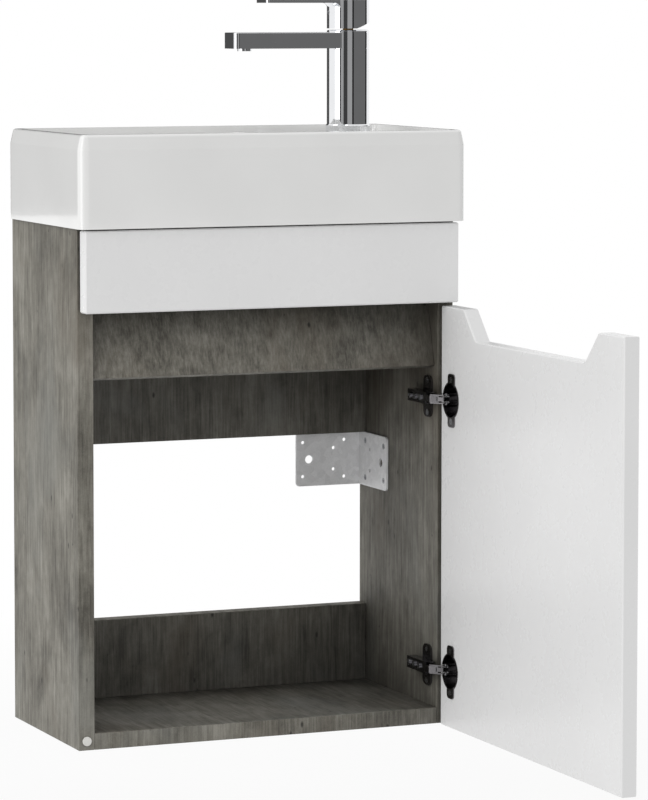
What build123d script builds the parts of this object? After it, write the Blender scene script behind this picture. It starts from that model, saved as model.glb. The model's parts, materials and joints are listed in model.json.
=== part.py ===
from build123d import *
import os
from math import atan2, cos, degrees, hypot, radians, sin, tan

# All sizes are in millimetres. X runs to the right, the wall is the plane y = 0,
# the front faces -Y, and z = 0 is the underside of the side panels. The finished
# pieces are moved down so that the origin lies midway between the two wall bolts.

# Carcass boards
BOARD = 16.0
CABINET_WIDTH = 392.0
CABINET_DEPTH = 192.0
CABINET_HEIGHT = 500.0
EDGE_BREAK = 0.4
LOWER_RAIL_HEIGHT = 79.0

# How far a cutting shape runs past the face that it cuts
OVERRUN = 1.0

# Slanted apron between the side panels
APRON_THICKNESS = 12.0
APRON_BOTTOM = 356.0
APRON_SETBACK = 8.0
APRON_LEAN = 14.5
APRON_LENGTH = 128.0

# Fixed front panel and door
FRONT_SIDE_REVEAL = 2.0
FRONT_THICKNESS = 16.0
FRONT_GAP = 2.0
FRONT_EDGE_BEVEL = 1.2
FRONT_PANEL_HEIGHT = 78.3
FRONT_PANEL_DROP = 1.7
DOOR_HEIGHT = 416.0
DOOR_BOTTOM = 0.0
NOTCH_TOP_WIDTH = 286.4
NOTCH_FLOOR_WIDTH = 231.2
NOTCH_DEPTH = 29.5
NOTCH_CORNER = 6.0

# Where the door stands when it is open at a right angle
OPEN_FACE_OFFSET = 1.0
OPEN_EDGE_AHEAD = 6.2

# Door bumper
BUMPER_DIAMETER = 9.0
BUMPER_HEIGHT = 8.9
BUMPER_CLEARANCE = 0.3
BUMPER_ROUND = 0.6

# Dowels, cam bolts and cam locks
DOWEL_DIAMETER = 8.0
DOWEL_IN_SIDE = 10.0
DOWEL_IN_BOARD = 20.0
DOWEL_INSET = 40.0
RAIL_DOWEL_INSET = 18.0
RAIL_DOWEL_RAISE = 30.0
APRON_DOWEL_INSET = 25.6
DOWEL_CHAMFER = 0.8
CAM_DIAMETER = 15.0
CAM_THICKNESS = 12.0
CAM_REACH = 34.0
CAM_BOLT_DIAMETER = 6.0
CAM_BOLT_HEAD = 8.0
CAM_BOLT_NECK = 3.6
CAM_BOLT_IN_SIDE = 11.0
CAM_BOLT_HEAD_LENGTH = 3.0
CAM_BOLT_PAST_CAM = 1.0
CAM_SLOT_LENGTH = 8.0
CAM_SLOT_WIDTH = 1.2
CAM_SLOT_DEPTH = 1.4
CAM_POCKET_CLEARANCE = 0.5
JOINERY_CLEARANCE = 0.1

# Angle brackets behind the fixed front panel
FRONT_BRACKET_LEG = 24.0
FRONT_BRACKET_WIDTH = 18.0
FRONT_BRACKET_SHEET = 2.0
FRONT_BRACKET_HEIGHT = 459.0
FRONT_SCREW_SPREAD = 9.0
FRONT_SCREW_FROM_CORNER = 14.9

# Countersunk wood screws
SCREW_SHANK = 3.0
SCREW_HEAD = 6.0
SCREW_HEAD_HEIGHT = 1.6
SCREW_LENGTH = 12.0
SCREW_RECESS = 2.6
SCREW_RECESS_WIDTH = 0.8
SCREW_RECESS_DEPTH = 1.0
SCREW_HOLE_SPARE = 0.5

# Wall brackets
WALL_BRACKET_SHEET = 2.0
WALL_BRACKET_LEG = 72.0
LEFT_BRACKET_WALL_LEG = 66.5
WALL_BRACKET_HEIGHT = 55.0
WALL_BRACKET_CENTRE = 245.2
WALL_BRACKET_CORNER = 4.0
WALL_BOLT_HOLE = 8.5
WALL_BOLT_FROM_CORNER = 57.7
SCREW_HOLE = 3.6
BRACKET_HOLES = ((18.5, 19.0), (30.5, 11.0), (64.5, 17.6))

# Hinge heights and plates
HINGE_LOWER = 56.0
HINGE_UPPER = 324.5
PLATE_SETBACK = 20.5
PLATE_LENGTH = 41.0
PLATE_WIDTH = 19.0
PLATE_SHEET = 2.0
PLATE_END_FLAT = 5.0
PLATE_BLIND = 1.0
PLATE_SCREW_SPACING = 32.0
PLATE_RAIL_WIDTH = 7.6
PLATE_RAIL_REAR = 40.0
PLATE_RAIL_FRONT = 12.0
PLATE_RAIL_HEIGHT = 6.0

# Hinge arm, a channel over the plate's rail
ARM_HEIGHT = 11.8
ARM_SHEET = 1.2
ARM_FACE = 11.8
ARM_FOOT = 2.6
ARM_REAR = 46.0
ARM_WEB_FRONT = 2.0
ARM_EYE = 2.5
ARM_TONGUE_HEIGHT = 6.6
ARM_TONGUE_REAR = 6.0
ARM_SLOT_BACK = 2.4
ARM_SLOT_REAR = 5.0
ADJUSTER_SETBACKS = (15.4, 27.4, 39.5)
ADJUSTER_DIAMETER = 5.6
ADJUSTER_HEAD = 1.6
ADJUSTER_SHANK = 3.0
ADJUSTER_SLOT_DEPTH = 1.0
ADJUSTER_SLOT_WIDTH = 0.7
ADJUSTER_SLOT_MARGIN = 0.9
ADJUSTER_TIP_GAP = 1.0

# Link pivots, measured from the side panel's inner front corner
PIN_DIAMETER = 2.0
PIN_FIT = 0.05
INNER_PIVOT_INWARD = 4.0
INNER_PIVOT_AHEAD = 10.0
OUTER_PIVOT_INWARD = 9.5
OUTER_PIVOT_AHEAD = 5.0
INNER_PIVOT_REACH = 6.0
OUTER_PIVOT_REACH = 7.5
INNER_LINK_HEIGHT = 4.0
INNER_LINK_WIDTH = 3.6
INNER_LINK_BOW = 2.8
OUTER_LINK_SHEET = 1.0
OUTER_LINK_WIDTH = 3.4
OUTER_TIP_CLEARANCE = 1.35
OUTER_TIP_BEARING = 197.5
LINK_SIDE_CLEARANCE = 0.15

# Hinge cup let into the door
CUP_DIAMETER = 35.0
CUP_EDGE_DISTANCE = 5.0
CUP_DEPTH = 12.4
CUP_WALL = 0.8
CUP_RIM = 0.9
CUP_RIM_SHEET = 0.5
CUP_WING_LENGTH = 52.5
CUP_WING_WIDTH = 15.0
CUP_WING_SHEET = 1.2
CUP_WING_CORNER = 4.0
CUP_SCREW_SPACING = 41.0
CUP_SCREW_OFFSET = 2.3
CUP_LUG_SHEET = 1.0
CUP_LUG_RADIUS = 2.0
CUP_NOTCH_DEPTH = 6.0
DOOR_BORE_CLEARANCE = 0.1

# Basin
BASIN_WIDTH = 400.0
BASIN_DEPTH = 215.0
BASIN_HEIGHT = 89.0
BASIN_CORNER = 9.0
BASIN_TOP_ROUND = 3.0
BASIN_DRAW_IN = 3.0
BASIN_DRAW_HEIGHT = 14.0
RIM_WIDTH = 9.0
BOWL_LENGTH = 232.0
BOWL_DEPTH = 72.0
BOWL_CORNER = 22.0
BOWL_TAPER = 8.0
BOWL_FLOOR_ROUND = 14.0
DECK_DROP = 6.0
DECK_THICKNESS = 12.0
DECK_CORNER = 12.0
SKIRT_WALL = 9.0
SKIRT_CORNER = 6.0
UNDER_BOWL_RECESS = 7.0

# Tap
TAP_INSET = 80.3
TAP_SETBACK = 107.5
TAP_DIAMETER = 42.0
TAP_HOLE = 35.0
TAP_RING_HEIGHT = 9.0
TAP_RING_FLARE = 1.2
TAP_RING_WALL = 5.0
TAP_GASKET = 0.8
TAP_GASKET_WALL = 4.0
TAP_TOP_ABOVE_DECK = 103.0
TAP_TOP_CHAMFER = 1.0
TAP_GROOVE_WIDTH = 0.6
TAP_GROOVE_DEPTH = 0.5
SPOUT_REACH = 126.7
SPOUT_WIDTH = 32.0
SPOUT_HEIGHT = 15.7
SPOUT_BELOW_TOP = 2.3
SPOUT_TIP_CORNER = 4.5
SPOUT_EDGE_ROUND = 0.6
WATERWAY = 9.0
AERATOR_REACH = 110.7
AERATOR_DIAMETER = 14.0
AERATOR_DROP = 2.5
AERATOR_SEAT = 7.0
AERATOR_TOP_GAP = 2.0
AERATOR_RECESS = 1.0
AERATOR_RIM = 1.0
AERATOR_HOLE = 1.2
AERATOR_PITCH = 2.4
AERATOR_ROWS = 2
CHAMBER_DIAMETER = 36.0
CHAMBER_DEPTH = 44.0
CARTRIDGE_DIAMETER = 35.8
CARTRIDGE_HEIGHT = 34.0
PORT_CIRCLE = 17.0
PORT_DIAMETER = 6.0
PORT_DEPTH = 4.0
NUT_HEIGHT = 8.0
NUT_CLEARANCE = 1.0
NUT_NOTCH = 5.0
NUT_NOTCH_DEPTH = 3.0
TURRET_DIAMETER = 23.0
TURRET_FIT = 0.08
TURRET_DEPTH = 20.0
TURRET_SLOT_SPARE = 2.0
TURRET_SHOULDER = 1.5
TURRET_SHOULDER_HEIGHT = 4.0
PIN_END_INSET = 1.0
TIGHT_FIT = 0.01
SPINDLE_SIDE = 8.0
SPINDLE_TAIL = 7.0
SPINDLE_SLOT_CLEARANCE = 0.3
PIVOT_BELOW_TOP = 14.0
SPINDLE_PIN = 3.0
SPINDLE_CHAMFER = 0.8
SPINDLE_TOP_ABOVE = 18.5

# Tap handle
HANDLE_GAP = 1.5
HANDLE_HEIGHT = 28.8
HANDLE_WALL = 1.5
HANDLE_TOP = 4.0
HANDLE_LIFT = 20.0
HANDLE_HUB = 16.0
HANDLE_HUB_LENGTH = 18.0
HANDLE_HUB_ROOT = 0.5
HANDLE_EDGE = 0.4
HANDLE_SOCKET_CLEARANCE = 0.05
HANDLE_SOCKET_SPARE = 0.2
HANDLE_TILT_CLEARANCE = 0.3
LEVER_REACH = 92.7
LEVER_WIDTH = 30.0
LEVER_THICKNESS = 3.5
LEVER_CORNER = 3.0
LEVER_ROOT = 4.5
GRUB_DIAMETER = 4.0
GRUB_LENGTH = 4.0
GRUB_SOCKET = 2.0
GRUB_SOCKET_DEPTH = 2.0
INDEX_PLUG_LENGTH = 3.0
INDEX_PLUG_RECESS = 0.3

# Tap fixing under the deck
STUD_DIAMETER = 8.0
STUD_IN_TAP = 14.0
STUD_LENGTH = 62.0
STUD_OFFSET = 9.0
INLET_DIAMETER = 10.0
INLET_DEPTH = 12.0
INLET_OFFSET = 7.5
HORSESHOE_DIAMETER = 46.0
HORSESHOE_THICKNESS = 3.0
HORSESHOE_MOUTH = 28.0
HORSESHOE_MOUTH_END = 1.0
HORSESHOE_HOLE_CLEARANCE = 0.2
STUD_NUT_WIDTH = 13.0
STUD_NUT_HEIGHT = 12.0

# Basin waste
WASTE_HOLE = 45.0
WASTE_THREAD = 41.9
WASTE_THREAD_LENGTH = 45.0
WASTE_NECK = 41.4
WASTE_BORE = 36.0
WASTE_FLANGE = 63.0
WASTE_FLANGE_THICKNESS = 2.5
WASTE_FLANGE_CHAMFER = 1.5
WASTE_LENGTH = 88.0
WASTE_SEAL = 1.5
SEAL_FIT = 0.4
WASTE_SEAT_WIDTH = 4.0
WASTE_NUT_DIAMETER = 58.0
WASTE_NUT_HEIGHT = 10.0
WASTE_NUT_FLANGE = 3.0
WASTE_NUT_SCALLOP = 8.0
WASTE_NUT_SCALLOPS = 8
WASTE_WASHER_DIAMETER = 62.0
WASTE_WASHER = 3.0
PLUG_DIAMETER = 58.0
PLUG_THICKNESS = 4.0
PLUG_ROUND = 2.5
PLUG_GAP = 2.0
PLUG_STEM = 8.0
PLUG_GUIDE_DEPTH = 34.0
PLUG_GUIDE_HEIGHT = 14.0
PLUG_GUIDE_WALL = 2.0
PLUG_GUIDE_RIB = 2.0
PLUG_STEM_PAST_GUIDE = 12.0
PLUG_CLIP = 11.0
PLUG_CLIP_HEIGHT = 2.0
PLUG_CLIP_CLEARANCE = 0.4
PLUG_TRAVEL = 8.0
PLUG_SEAL_OUTWARD = 5.0
PLUG_SEAL_INWARD = 3.0
PLUG_SEAL_CLEARANCE = 0.3

# Places that follow from the sizes above
SIDE_OUTER = CABINET_WIDTH / 2
SIDE_INNER = SIDE_OUTER - BOARD
FRONT_WIDTH = CABINET_WIDTH - 2 * FRONT_SIDE_REVEAL
CABINET_FRONT = -CABINET_DEPTH
FRONT_FACE_BACK = CABINET_FRONT - FRONT_GAP
DECK_TOP = CABINET_HEIGHT + BASIN_HEIGHT - DECK_DROP
TAP_X = BASIN_WIDTH / 2 - TAP_INSET
TAP_Y = -TAP_SETBACK
TAP_BASE = DECK_TOP + TAP_GASKET
TAP_BODY_BASE = TAP_BASE + TAP_RING_HEIGHT
TAP_TOP = DECK_TOP + TAP_TOP_ABOVE_DECK
TAP_PIVOT = TAP_TOP - PIVOT_BELOW_TOP
UPPER_RAIL_BOTTOM = WALL_BRACKET_CENTRE + WALL_BRACKET_HEIGHT / 2
BOWL_LEFT = -BASIN_WIDTH / 2 + RIM_WIDTH
BOWL_RIGHT = BOWL_LEFT + BOWL_LENGTH
BOWL_FLOOR = CABINET_HEIGHT + BASIN_HEIGHT - BOWL_DEPTH
WASTE_X = (BOWL_LEFT + BOWL_RIGHT) / 2
WASTE_Y = -BASIN_DEPTH / 2


def block(x0, x1, y0, y1, z0, z1):
    """A box between three pairs of planes."""
    centre = Pos((x0 + x1) / 2, (y0 + y1) / 2, (z0 + z1) / 2)
    return centre * Box(abs(x1 - x0), abs(y1 - y0), abs(z1 - z0))


def board(x0, x1, y0, y1, z0, z1, edge=EDGE_BREAK):
    """A panel whose sharp edges are broken by a small chamfer."""
    panel = block(x0, x1, y0, y1, z0, z1)
    return chamfer(panel.edges(), edge)


def rod_z(x, y, z0, z1, diameter):
    """A round bar along Z."""
    return Pos(x, y, (z0 + z1) / 2) * Cylinder(diameter / 2, abs(z1 - z0))


def rod_x(x0, x1, y, z, diameter):
    """A round bar along X."""
    return Pos((x0 + x1) / 2, y, z) * Rot(0, 90, 0) * Cylinder(diameter / 2, abs(x1 - x0))


def rod_y(x, y0, y1, z, diameter):
    """A round bar along Y."""
    return Pos(x, (y0 + y1) / 2, z) * Rot(90, 0, 0) * Cylinder(diameter / 2, abs(y1 - y0))


def mirrored(shape):
    """The same piece on the left-hand side."""
    return mirror(shape, about=Plane.YZ)


def both_hinges(piece):
    """One copy of a hinge piece at each hinge height."""
    return [Pos(0, 0, HINGE_LOWER) * piece, Pos(0, 0, HINGE_UPPER) * piece]


def screw(length=SCREW_LENGTH):
    """A countersunk screw along Z: its flat head is at z = 0 and it points down."""
    head = Pos(0, 0, -SCREW_HEAD_HEIGHT / 2) * Cone(SCREW_SHANK / 2, SCREW_HEAD / 2, SCREW_HEAD_HEIGHT)
    shank = rod_z(0, 0, -length, -SCREW_HEAD_HEIGHT, SCREW_SHANK)
    slot = Pos(0, 0, -SCREW_RECESS_DEPTH / 2) * Box(SCREW_RECESS, SCREW_RECESS_WIDTH, SCREW_RECESS_DEPTH)
    return head + shank - slot - Rot(0, 0, 90) * slot


def screw_room(length=SCREW_LENGTH):
    """The countersunk hole that a screw sits in."""
    reach = SCREW_HEAD_HEIGHT + JOINERY_CLEARANCE
    head = Pos(0, 0, -reach / 2) * Cone(
        SCREW_SHANK / 2 + JOINERY_CLEARANCE, SCREW_HEAD / 2 + JOINERY_CLEARANCE, reach)
    shank = rod_z(0, 0, -length - SCREW_HOLE_SPARE, -SCREW_HEAD_HEIGHT / 2,
                  SCREW_SHANK + 2 * JOINERY_CLEARANCE)
    return head + shank


def pointing_right(x, y, z):
    """A place whose screws point to +X: into the right panel or into the open door."""
    return Pos(x, y, z) * Rot(0, -90, 0)


# Joinery


def apron_point(along, back):
    """A point on the apron's section: up along its front face, then back from it."""
    lean = radians(APRON_LEAN)
    y = CABINET_FRONT + APRON_SETBACK + along * sin(lean) + back * cos(lean)
    z = APRON_BOTTOM + along * cos(lean) - back * sin(lean)
    return y, z


def dowel_places():
    """Where dowels cross from the end of a board into a side panel."""
    rail_y = -BOARD / 2
    lower_top = BOARD + LOWER_RAIL_HEIGHT
    places = [
        (-DOWEL_INSET, BOARD / 2),
        (CABINET_FRONT + DOWEL_INSET, BOARD / 2),
        (rail_y, BOARD + RAIL_DOWEL_INSET),
        (rail_y, lower_top - RAIL_DOWEL_INSET),
        (rail_y, UPPER_RAIL_BOTTOM + RAIL_DOWEL_INSET + RAIL_DOWEL_RAISE),
        (rail_y, CABINET_HEIGHT - RAIL_DOWEL_INSET),
    ]
    places.append(apron_point(APRON_DOWEL_INSET, APRON_THICKNESS / 2))
    places.append(apron_point(APRON_LENGTH - APRON_DOWEL_INSET, APRON_THICKNESS / 2))
    return places


def cam_places():
    """Cam bolt axes: y, z and whether the cam lies in a level or an upright board."""
    rail_y = -BOARD / 2
    upper_middle = (UPPER_RAIL_BOTTOM + CABINET_HEIGHT) / 2
    return [
        (CABINET_FRONT / 2, BOARD / 2, "level"),
        (rail_y, BOARD + LOWER_RAIL_HEIGHT / 2, "upright"),
        (rail_y, upper_middle, "upright"),
    ]


def dowel_holes_right():
    """Dowel holes at the right-hand ends of the boards and in the side panel."""
    extra = JOINERY_CLEARANCE
    x0 = SIDE_INNER - DOWEL_IN_BOARD - extra
    x1 = SIDE_INNER + DOWEL_IN_SIDE + extra
    return [rod_x(x0, x1, y, z, DOWEL_DIAMETER + 2 * extra) for y, z in dowel_places()]


def cam_bolt_right(y, z):
    """One cam bolt at the right-hand end of a board, with its neck and head in the cam."""
    x_head = SIDE_INNER - CAM_REACH
    thread = rod_x(SIDE_INNER, SIDE_INNER + CAM_BOLT_IN_SIDE, y, z, CAM_BOLT_DIAMETER)
    neck_start = x_head + CAM_BOLT_HEAD_LENGTH
    neck_end = x_head + CAM_DIAMETER / 2 + CAM_BOLT_PAST_CAM
    neck = rod_x(neck_start, neck_end, y, z, CAM_BOLT_NECK)
    shank = rod_x(neck_end, SIDE_INNER, y, z, CAM_BOLT_DIAMETER)
    head = rod_x(x_head, neck_start, y, z, CAM_BOLT_DIAMETER)
    return thread + shank + neck + head


def cam_lock_right(y, z, lie):
    """One cam: a round block with a mouth for the bolt's head and a cross for the screwdriver."""
    x = SIDE_INNER - CAM_REACH
    room = CAM_BOLT_HEAD / 2
    cam = Pos(0, 0, CAM_THICKNESS / 2) * Cylinder(CAM_DIAMETER / 2 - JOINERY_CLEARANCE, CAM_THICKNESS)
    mouth = block(-room, CAM_DIAMETER, -room, room, BOARD / 2 - room, CAM_THICKNESS + OVERRUN)
    slot = Pos(0, 0, CAM_SLOT_DEPTH / 2) * Box(CAM_SLOT_LENGTH, CAM_SLOT_WIDTH, CAM_SLOT_DEPTH)
    cam = cam - mouth - slot - Rot(0, 0, 90) * slot
    if lie == "level":
        return Pos(x, y, z - BOARD / 2) * cam
    return Pos(x, y + BOARD / 2, z) * Rot(90, 0, 0) * cam


def cam_room_right(y, z, lie):
    """The round pocket for a cam and the bore for its bolt in the board's end."""
    x = SIDE_INNER - CAM_REACH
    depth = CAM_THICKNESS + CAM_POCKET_CLEARANCE
    bore = rod_x(x, SIDE_INNER + OVERRUN, y, z, CAM_BOLT_HEAD)
    if lie == "level":
        return bore + rod_z(x, y, z - BOARD / 2, z - BOARD / 2 + depth, CAM_DIAMETER)
    return bore + rod_y(x, y + BOARD / 2 - depth, y + BOARD / 2, z, CAM_DIAMETER)


def joinery_cuts_in_side():
    """Everything drilled in the right panel's inner face for the boards."""
    cuts = dowel_holes_right()
    for y, z, lie in cam_places():
        cuts.append(rod_x(SIDE_INNER, SIDE_INNER + CAM_BOLT_IN_SIDE + JOINERY_CLEARANCE, y, z,
                          CAM_BOLT_DIAMETER + 2 * JOINERY_CLEARANCE))
    return cuts


def drilled_board(panel):
    """A board between the sides, with dowel holes and cam pockets at both ends."""
    for hole in dowel_holes_right():
        panel = panel - hole - mirrored(hole)
    for y, z, lie in cam_places():
        pocket = cam_room_right(y, z, lie)
        if (panel & pocket).volume > 0:
            panel = panel - pocket - mirrored(pocket)
    return panel


def panel_dowels():
    """Wooden dowels, each half in a side panel and half in a board."""
    x0 = SIDE_INNER - DOWEL_IN_BOARD
    x1 = SIDE_INNER + DOWEL_IN_SIDE
    pins = []
    for y, z in dowel_places():
        pin = rod_x(x0, x1, y, z, DOWEL_DIAMETER)
        pin = chamfer(pin.edges().filter_by(GeomType.CIRCLE), DOWEL_CHAMFER)
        pins += [pin, mirrored(pin)]
    return Compound(pins)


def cam_locks():
    """The six cams."""
    cams = []
    for y, z, lie in cam_places():
        cam = cam_lock_right(y, z, lie)
        cams += [cam, mirrored(cam)]
    return Compound(cams)


def cam_bolts():
    """The six bolts that the cams grip."""
    bolts = []
    for y, z, lie in cam_places():
        bolt = cam_bolt_right(y, z)
        bolts += [bolt, mirrored(bolt)]
    return Compound(bolts)


# Carcass


def side_panel():
    """The right side panel, drilled for the boards and for the wall bracket."""
    panel = board(SIDE_INNER, SIDE_OUTER, CABINET_FRONT, 0, 0, CABINET_HEIGHT)
    for hole in joinery_cuts_in_side():
        panel = panel - hole
    for place in side_bracket_screw_places() + front_side_screw_places():
        panel = panel - place * screw_room()
    return panel


def side_panel_right():
    """The right side panel, also drilled for the two hinge plates."""
    panel = side_panel()
    for place in plate_screw_places():
        panel = panel - place * screw_room()
    return panel


def side_panel_left():
    """The left side panel, a mirror image without hinge holes."""
    return mirrored(side_panel())


def bottom_panel():
    """The bottom between the sides."""
    panel = board(-SIDE_INNER, SIDE_INNER, CABINET_FRONT, 0, 0, BOARD)
    return drilled_board(panel)


def lower_back_rail():
    """The upright rail that stands on the bottom at the back."""
    panel = board(-SIDE_INNER, SIDE_INNER, -BOARD, 0, BOARD, BOARD + LOWER_RAIL_HEIGHT)
    return drilled_board(panel)


def upper_back_rail():
    """The deep upright rail under the basin at the back."""
    panel = board(-SIDE_INNER, SIDE_INNER, -BOARD, 0, UPPER_RAIL_BOTTOM, CABINET_HEIGHT)
    return drilled_board(panel)


def apron_panel():
    """The slanted board that hides the space behind the fixed front panel."""
    corners = [apron_point(0, 0), apron_point(APRON_LENGTH, 0),
               apron_point(APRON_LENGTH, APRON_THICKNESS), apron_point(0, APRON_THICKNESS)]
    section = Plane.YZ * make_face(Polyline(*corners, close=True))
    panel = extrude(section, SIDE_INNER, both=True)
    panel = chamfer(panel.edges(), EDGE_BREAK)
    return drilled_board(panel)


# Front panel


def front_panel():
    """The fixed white panel above the door."""
    top = CABINET_HEIGHT - FRONT_PANEL_DROP
    half = FRONT_WIDTH / 2
    panel = board(-half, half, FRONT_FACE_BACK - FRONT_THICKNESS, FRONT_FACE_BACK,
                  top - FRONT_PANEL_HEIGHT, top, FRONT_EDGE_BEVEL)
    for place in front_panel_screw_places():
        hole = place * screw_room()
        panel = panel - hole - mirrored(hole)
    return panel


def front_bracket_right():
    """The angle bracket behind the front panel's right-hand end."""
    x1 = SIDE_INNER
    y0 = FRONT_FACE_BACK
    z0 = FRONT_BRACKET_HEIGHT - FRONT_BRACKET_WIDTH / 2
    z1 = FRONT_BRACKET_HEIGHT + FRONT_BRACKET_WIDTH / 2
    side_leg = block(x1 - FRONT_BRACKET_SHEET, x1, y0, y0 + FRONT_BRACKET_LEG, z0, z1)
    front_leg = block(x1 - FRONT_BRACKET_LEG, x1, y0, y0 + FRONT_BRACKET_SHEET, z0, z1)
    bracket = side_leg + front_leg
    for place in front_side_screw_places() + front_panel_screw_places():
        bracket = bracket - place * screw_room()
    return bracket


def front_side_screw_places():
    """Screws from the front bracket into the side panel."""
    x = SIDE_INNER - FRONT_BRACKET_SHEET
    y = FRONT_FACE_BACK + FRONT_SCREW_FROM_CORNER
    half = FRONT_SCREW_SPREAD / 2
    return [pointing_right(x, y, FRONT_BRACKET_HEIGHT + side * half) for side in (-1, 1)]


def front_panel_screw_places():
    """Screws from the front bracket forward into the front panel."""
    x = SIDE_INNER - FRONT_SCREW_FROM_CORNER
    y = FRONT_FACE_BACK + FRONT_BRACKET_SHEET
    half = FRONT_SCREW_SPREAD / 2
    return [Pos(x, y, FRONT_BRACKET_HEIGHT + side * half) * Rot(-90, 0, 0) for side in (-1, 1)]


def front_fixing_brackets():
    """The two angle brackets of the front panel."""
    bracket = front_bracket_right()
    return Compound([bracket, mirrored(bracket)])


def front_fixing_screws():
    """The eight screws of the front brackets."""
    screws = []
    for place in front_side_screw_places() + front_panel_screw_places():
        one = place * screw()
        screws += [one, mirrored(one)]
    return Compound(screws)


# Wall brackets


def side_bracket_screw_places():
    """Screws from the wall bracket's side leg into the side panel."""
    x = SIDE_INNER - WALL_BRACKET_SHEET
    first, middle, last = BRACKET_HOLES
    spots = [(first, 1), (first, -1), (last, 1), (last, -1)]
    return [pointing_right(x, -along, WALL_BRACKET_CENTRE + side * rise)
            for (along, rise), side in spots]


def wall_bracket(wall_length):
    """A bent steel angle on the right: one leg on the wall, the other on the side panel."""
    z0 = WALL_BRACKET_CENTRE - WALL_BRACKET_HEIGHT / 2
    z1 = WALL_BRACKET_CENTRE + WALL_BRACKET_HEIGHT / 2
    sheet = WALL_BRACKET_SHEET
    wall_leg = block(SIDE_INNER - wall_length, SIDE_INNER, -sheet, 0, z0, z1)
    side_leg = block(SIDE_INNER - sheet, SIDE_INNER, -WALL_BRACKET_LEG, 0, z0, z1)
    wall_leg = fillet(wall_leg.edges().filter_by(Axis.Y).group_by(Axis.X)[0], WALL_BRACKET_CORNER)
    side_leg = fillet(side_leg.edges().filter_by(Axis.X).group_by(Axis.Y)[0], WALL_BRACKET_CORNER)
    bracket = wall_leg + side_leg
    spots = [(WALL_BOLT_FROM_CORNER, 0.0, WALL_BOLT_HOLE)]
    for along, rise in BRACKET_HOLES:
        spots += [(along, rise, SCREW_HOLE), (along, -rise, SCREW_HOLE)]
    for along, rise, hole in spots:
        z = WALL_BRACKET_CENTRE + rise
        bracket = bracket - rod_x(SIDE_INNER - sheet - OVERRUN, SIDE_INNER + OVERRUN, -along, z, hole)
        if along + hole / 2 + sheet < wall_length:
            bracket = bracket - rod_y(SIDE_INNER - along, -sheet - OVERRUN, OVERRUN, z, hole)
    for place in side_bracket_screw_places():
        bracket = bracket - place * screw_room()
    return bracket


def wall_bracket_right():
    """The right wall bracket, with legs of one length."""
    return wall_bracket(WALL_BRACKET_LEG)


def wall_bracket_left():
    """The left wall bracket, whose wall leg is shorter and stays hidden behind the panel."""
    return mirrored(wall_bracket(LEFT_BRACKET_WALL_LEG))


def bracket_screws():
    """The screws of both wall brackets."""
    screws = []
    for place in side_bracket_screw_places():
        one = place * screw()
        screws += [one, mirrored(one)]
    return Compound(screws)


# Hinges: every piece is built about z = 0 and then moved to its hinge height


def plate_screw_places_at(z_centre):
    """The two screws of one hinge plate."""
    x = SIDE_INNER - PLATE_SHEET
    y = CABINET_FRONT + PLATE_SETBACK
    half = PLATE_SCREW_SPACING / 2
    return [pointing_right(x, y, z_centre + side * half) for side in (-1, 1)]


def plate_screw_places():
    """The screws of both hinge plates."""
    return plate_screw_places_at(HINGE_LOWER) + plate_screw_places_at(HINGE_UPPER)


def hinge_plate():
    """The plate on the side panel, with the rail that carries the arm."""
    y_mid = CABINET_FRONT + PLATE_SETBACK
    face = SIDE_INNER - PLATE_SHEET
    wings = block(face, SIDE_INNER, y_mid - PLATE_WIDTH / 2, y_mid + PLATE_WIDTH / 2,
                  -PLATE_LENGTH / 2, PLATE_LENGTH / 2)
    wings = fillet(wings.edges().filter_by(Axis.X), (PLATE_WIDTH - PLATE_END_FLAT) / 2)
    rail = block(face - PLATE_RAIL_HEIGHT, SIDE_INNER, CABINET_FRONT + PLATE_RAIL_FRONT,
                 CABINET_FRONT + PLATE_RAIL_REAR, -PLATE_RAIL_WIDTH / 2, PLATE_RAIL_WIDTH / 2)
    plate = wings + rail
    for place in plate_screw_places_at(0):
        plate = plate - place * screw_room()
    for setback in ADJUSTER_SETBACKS:
        plate = plate - rod_x(face - PLATE_RAIL_HEIGHT - OVERRUN, SIDE_INNER - PLATE_BLIND,
                              CABINET_FRONT + setback, 0, ADJUSTER_SHANK + 2 * JOINERY_CLEARANCE)
    return plate


def plate_screws():
    """The four screws of the hinge plates."""
    return Compound([place * screw() for place in plate_screw_places()])


def polar(centre, radius, angle):
    """A point at a distance and an angle, in degrees, from a centre in plan."""
    return centre[0] + radius * cos(radians(angle)), centre[1] + radius * sin(radians(angle))


def door_pole():
    """The point in plan about which a quarter turn carries the closed door open."""
    closed_x = FRONT_WIDTH / 2
    closed_y = FRONT_FACE_BACK
    open_x = SIDE_INNER + OPEN_FACE_OFFSET
    open_y = CABINET_FRONT - OPEN_EDGE_AHEAD
    total = open_x + closed_y
    spread = open_y - closed_x
    return (total - spread) / 2, (total + spread) / 2


def arm_pivot(inward, ahead):
    """A link's pivot in the arm, from the side panel's inner front corner."""
    return SIDE_INNER - inward, CABINET_FRONT - ahead


def cup_pivot(pivot, reach):
    """A link's pivot in the open door's cup, so that it also meets the closed door's."""
    pole = door_pole()
    bearing = degrees(atan2(pivot[1] - pole[1], pivot[0] - pole[0]))
    return polar(pole, reach, bearing + 45.0)


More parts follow.
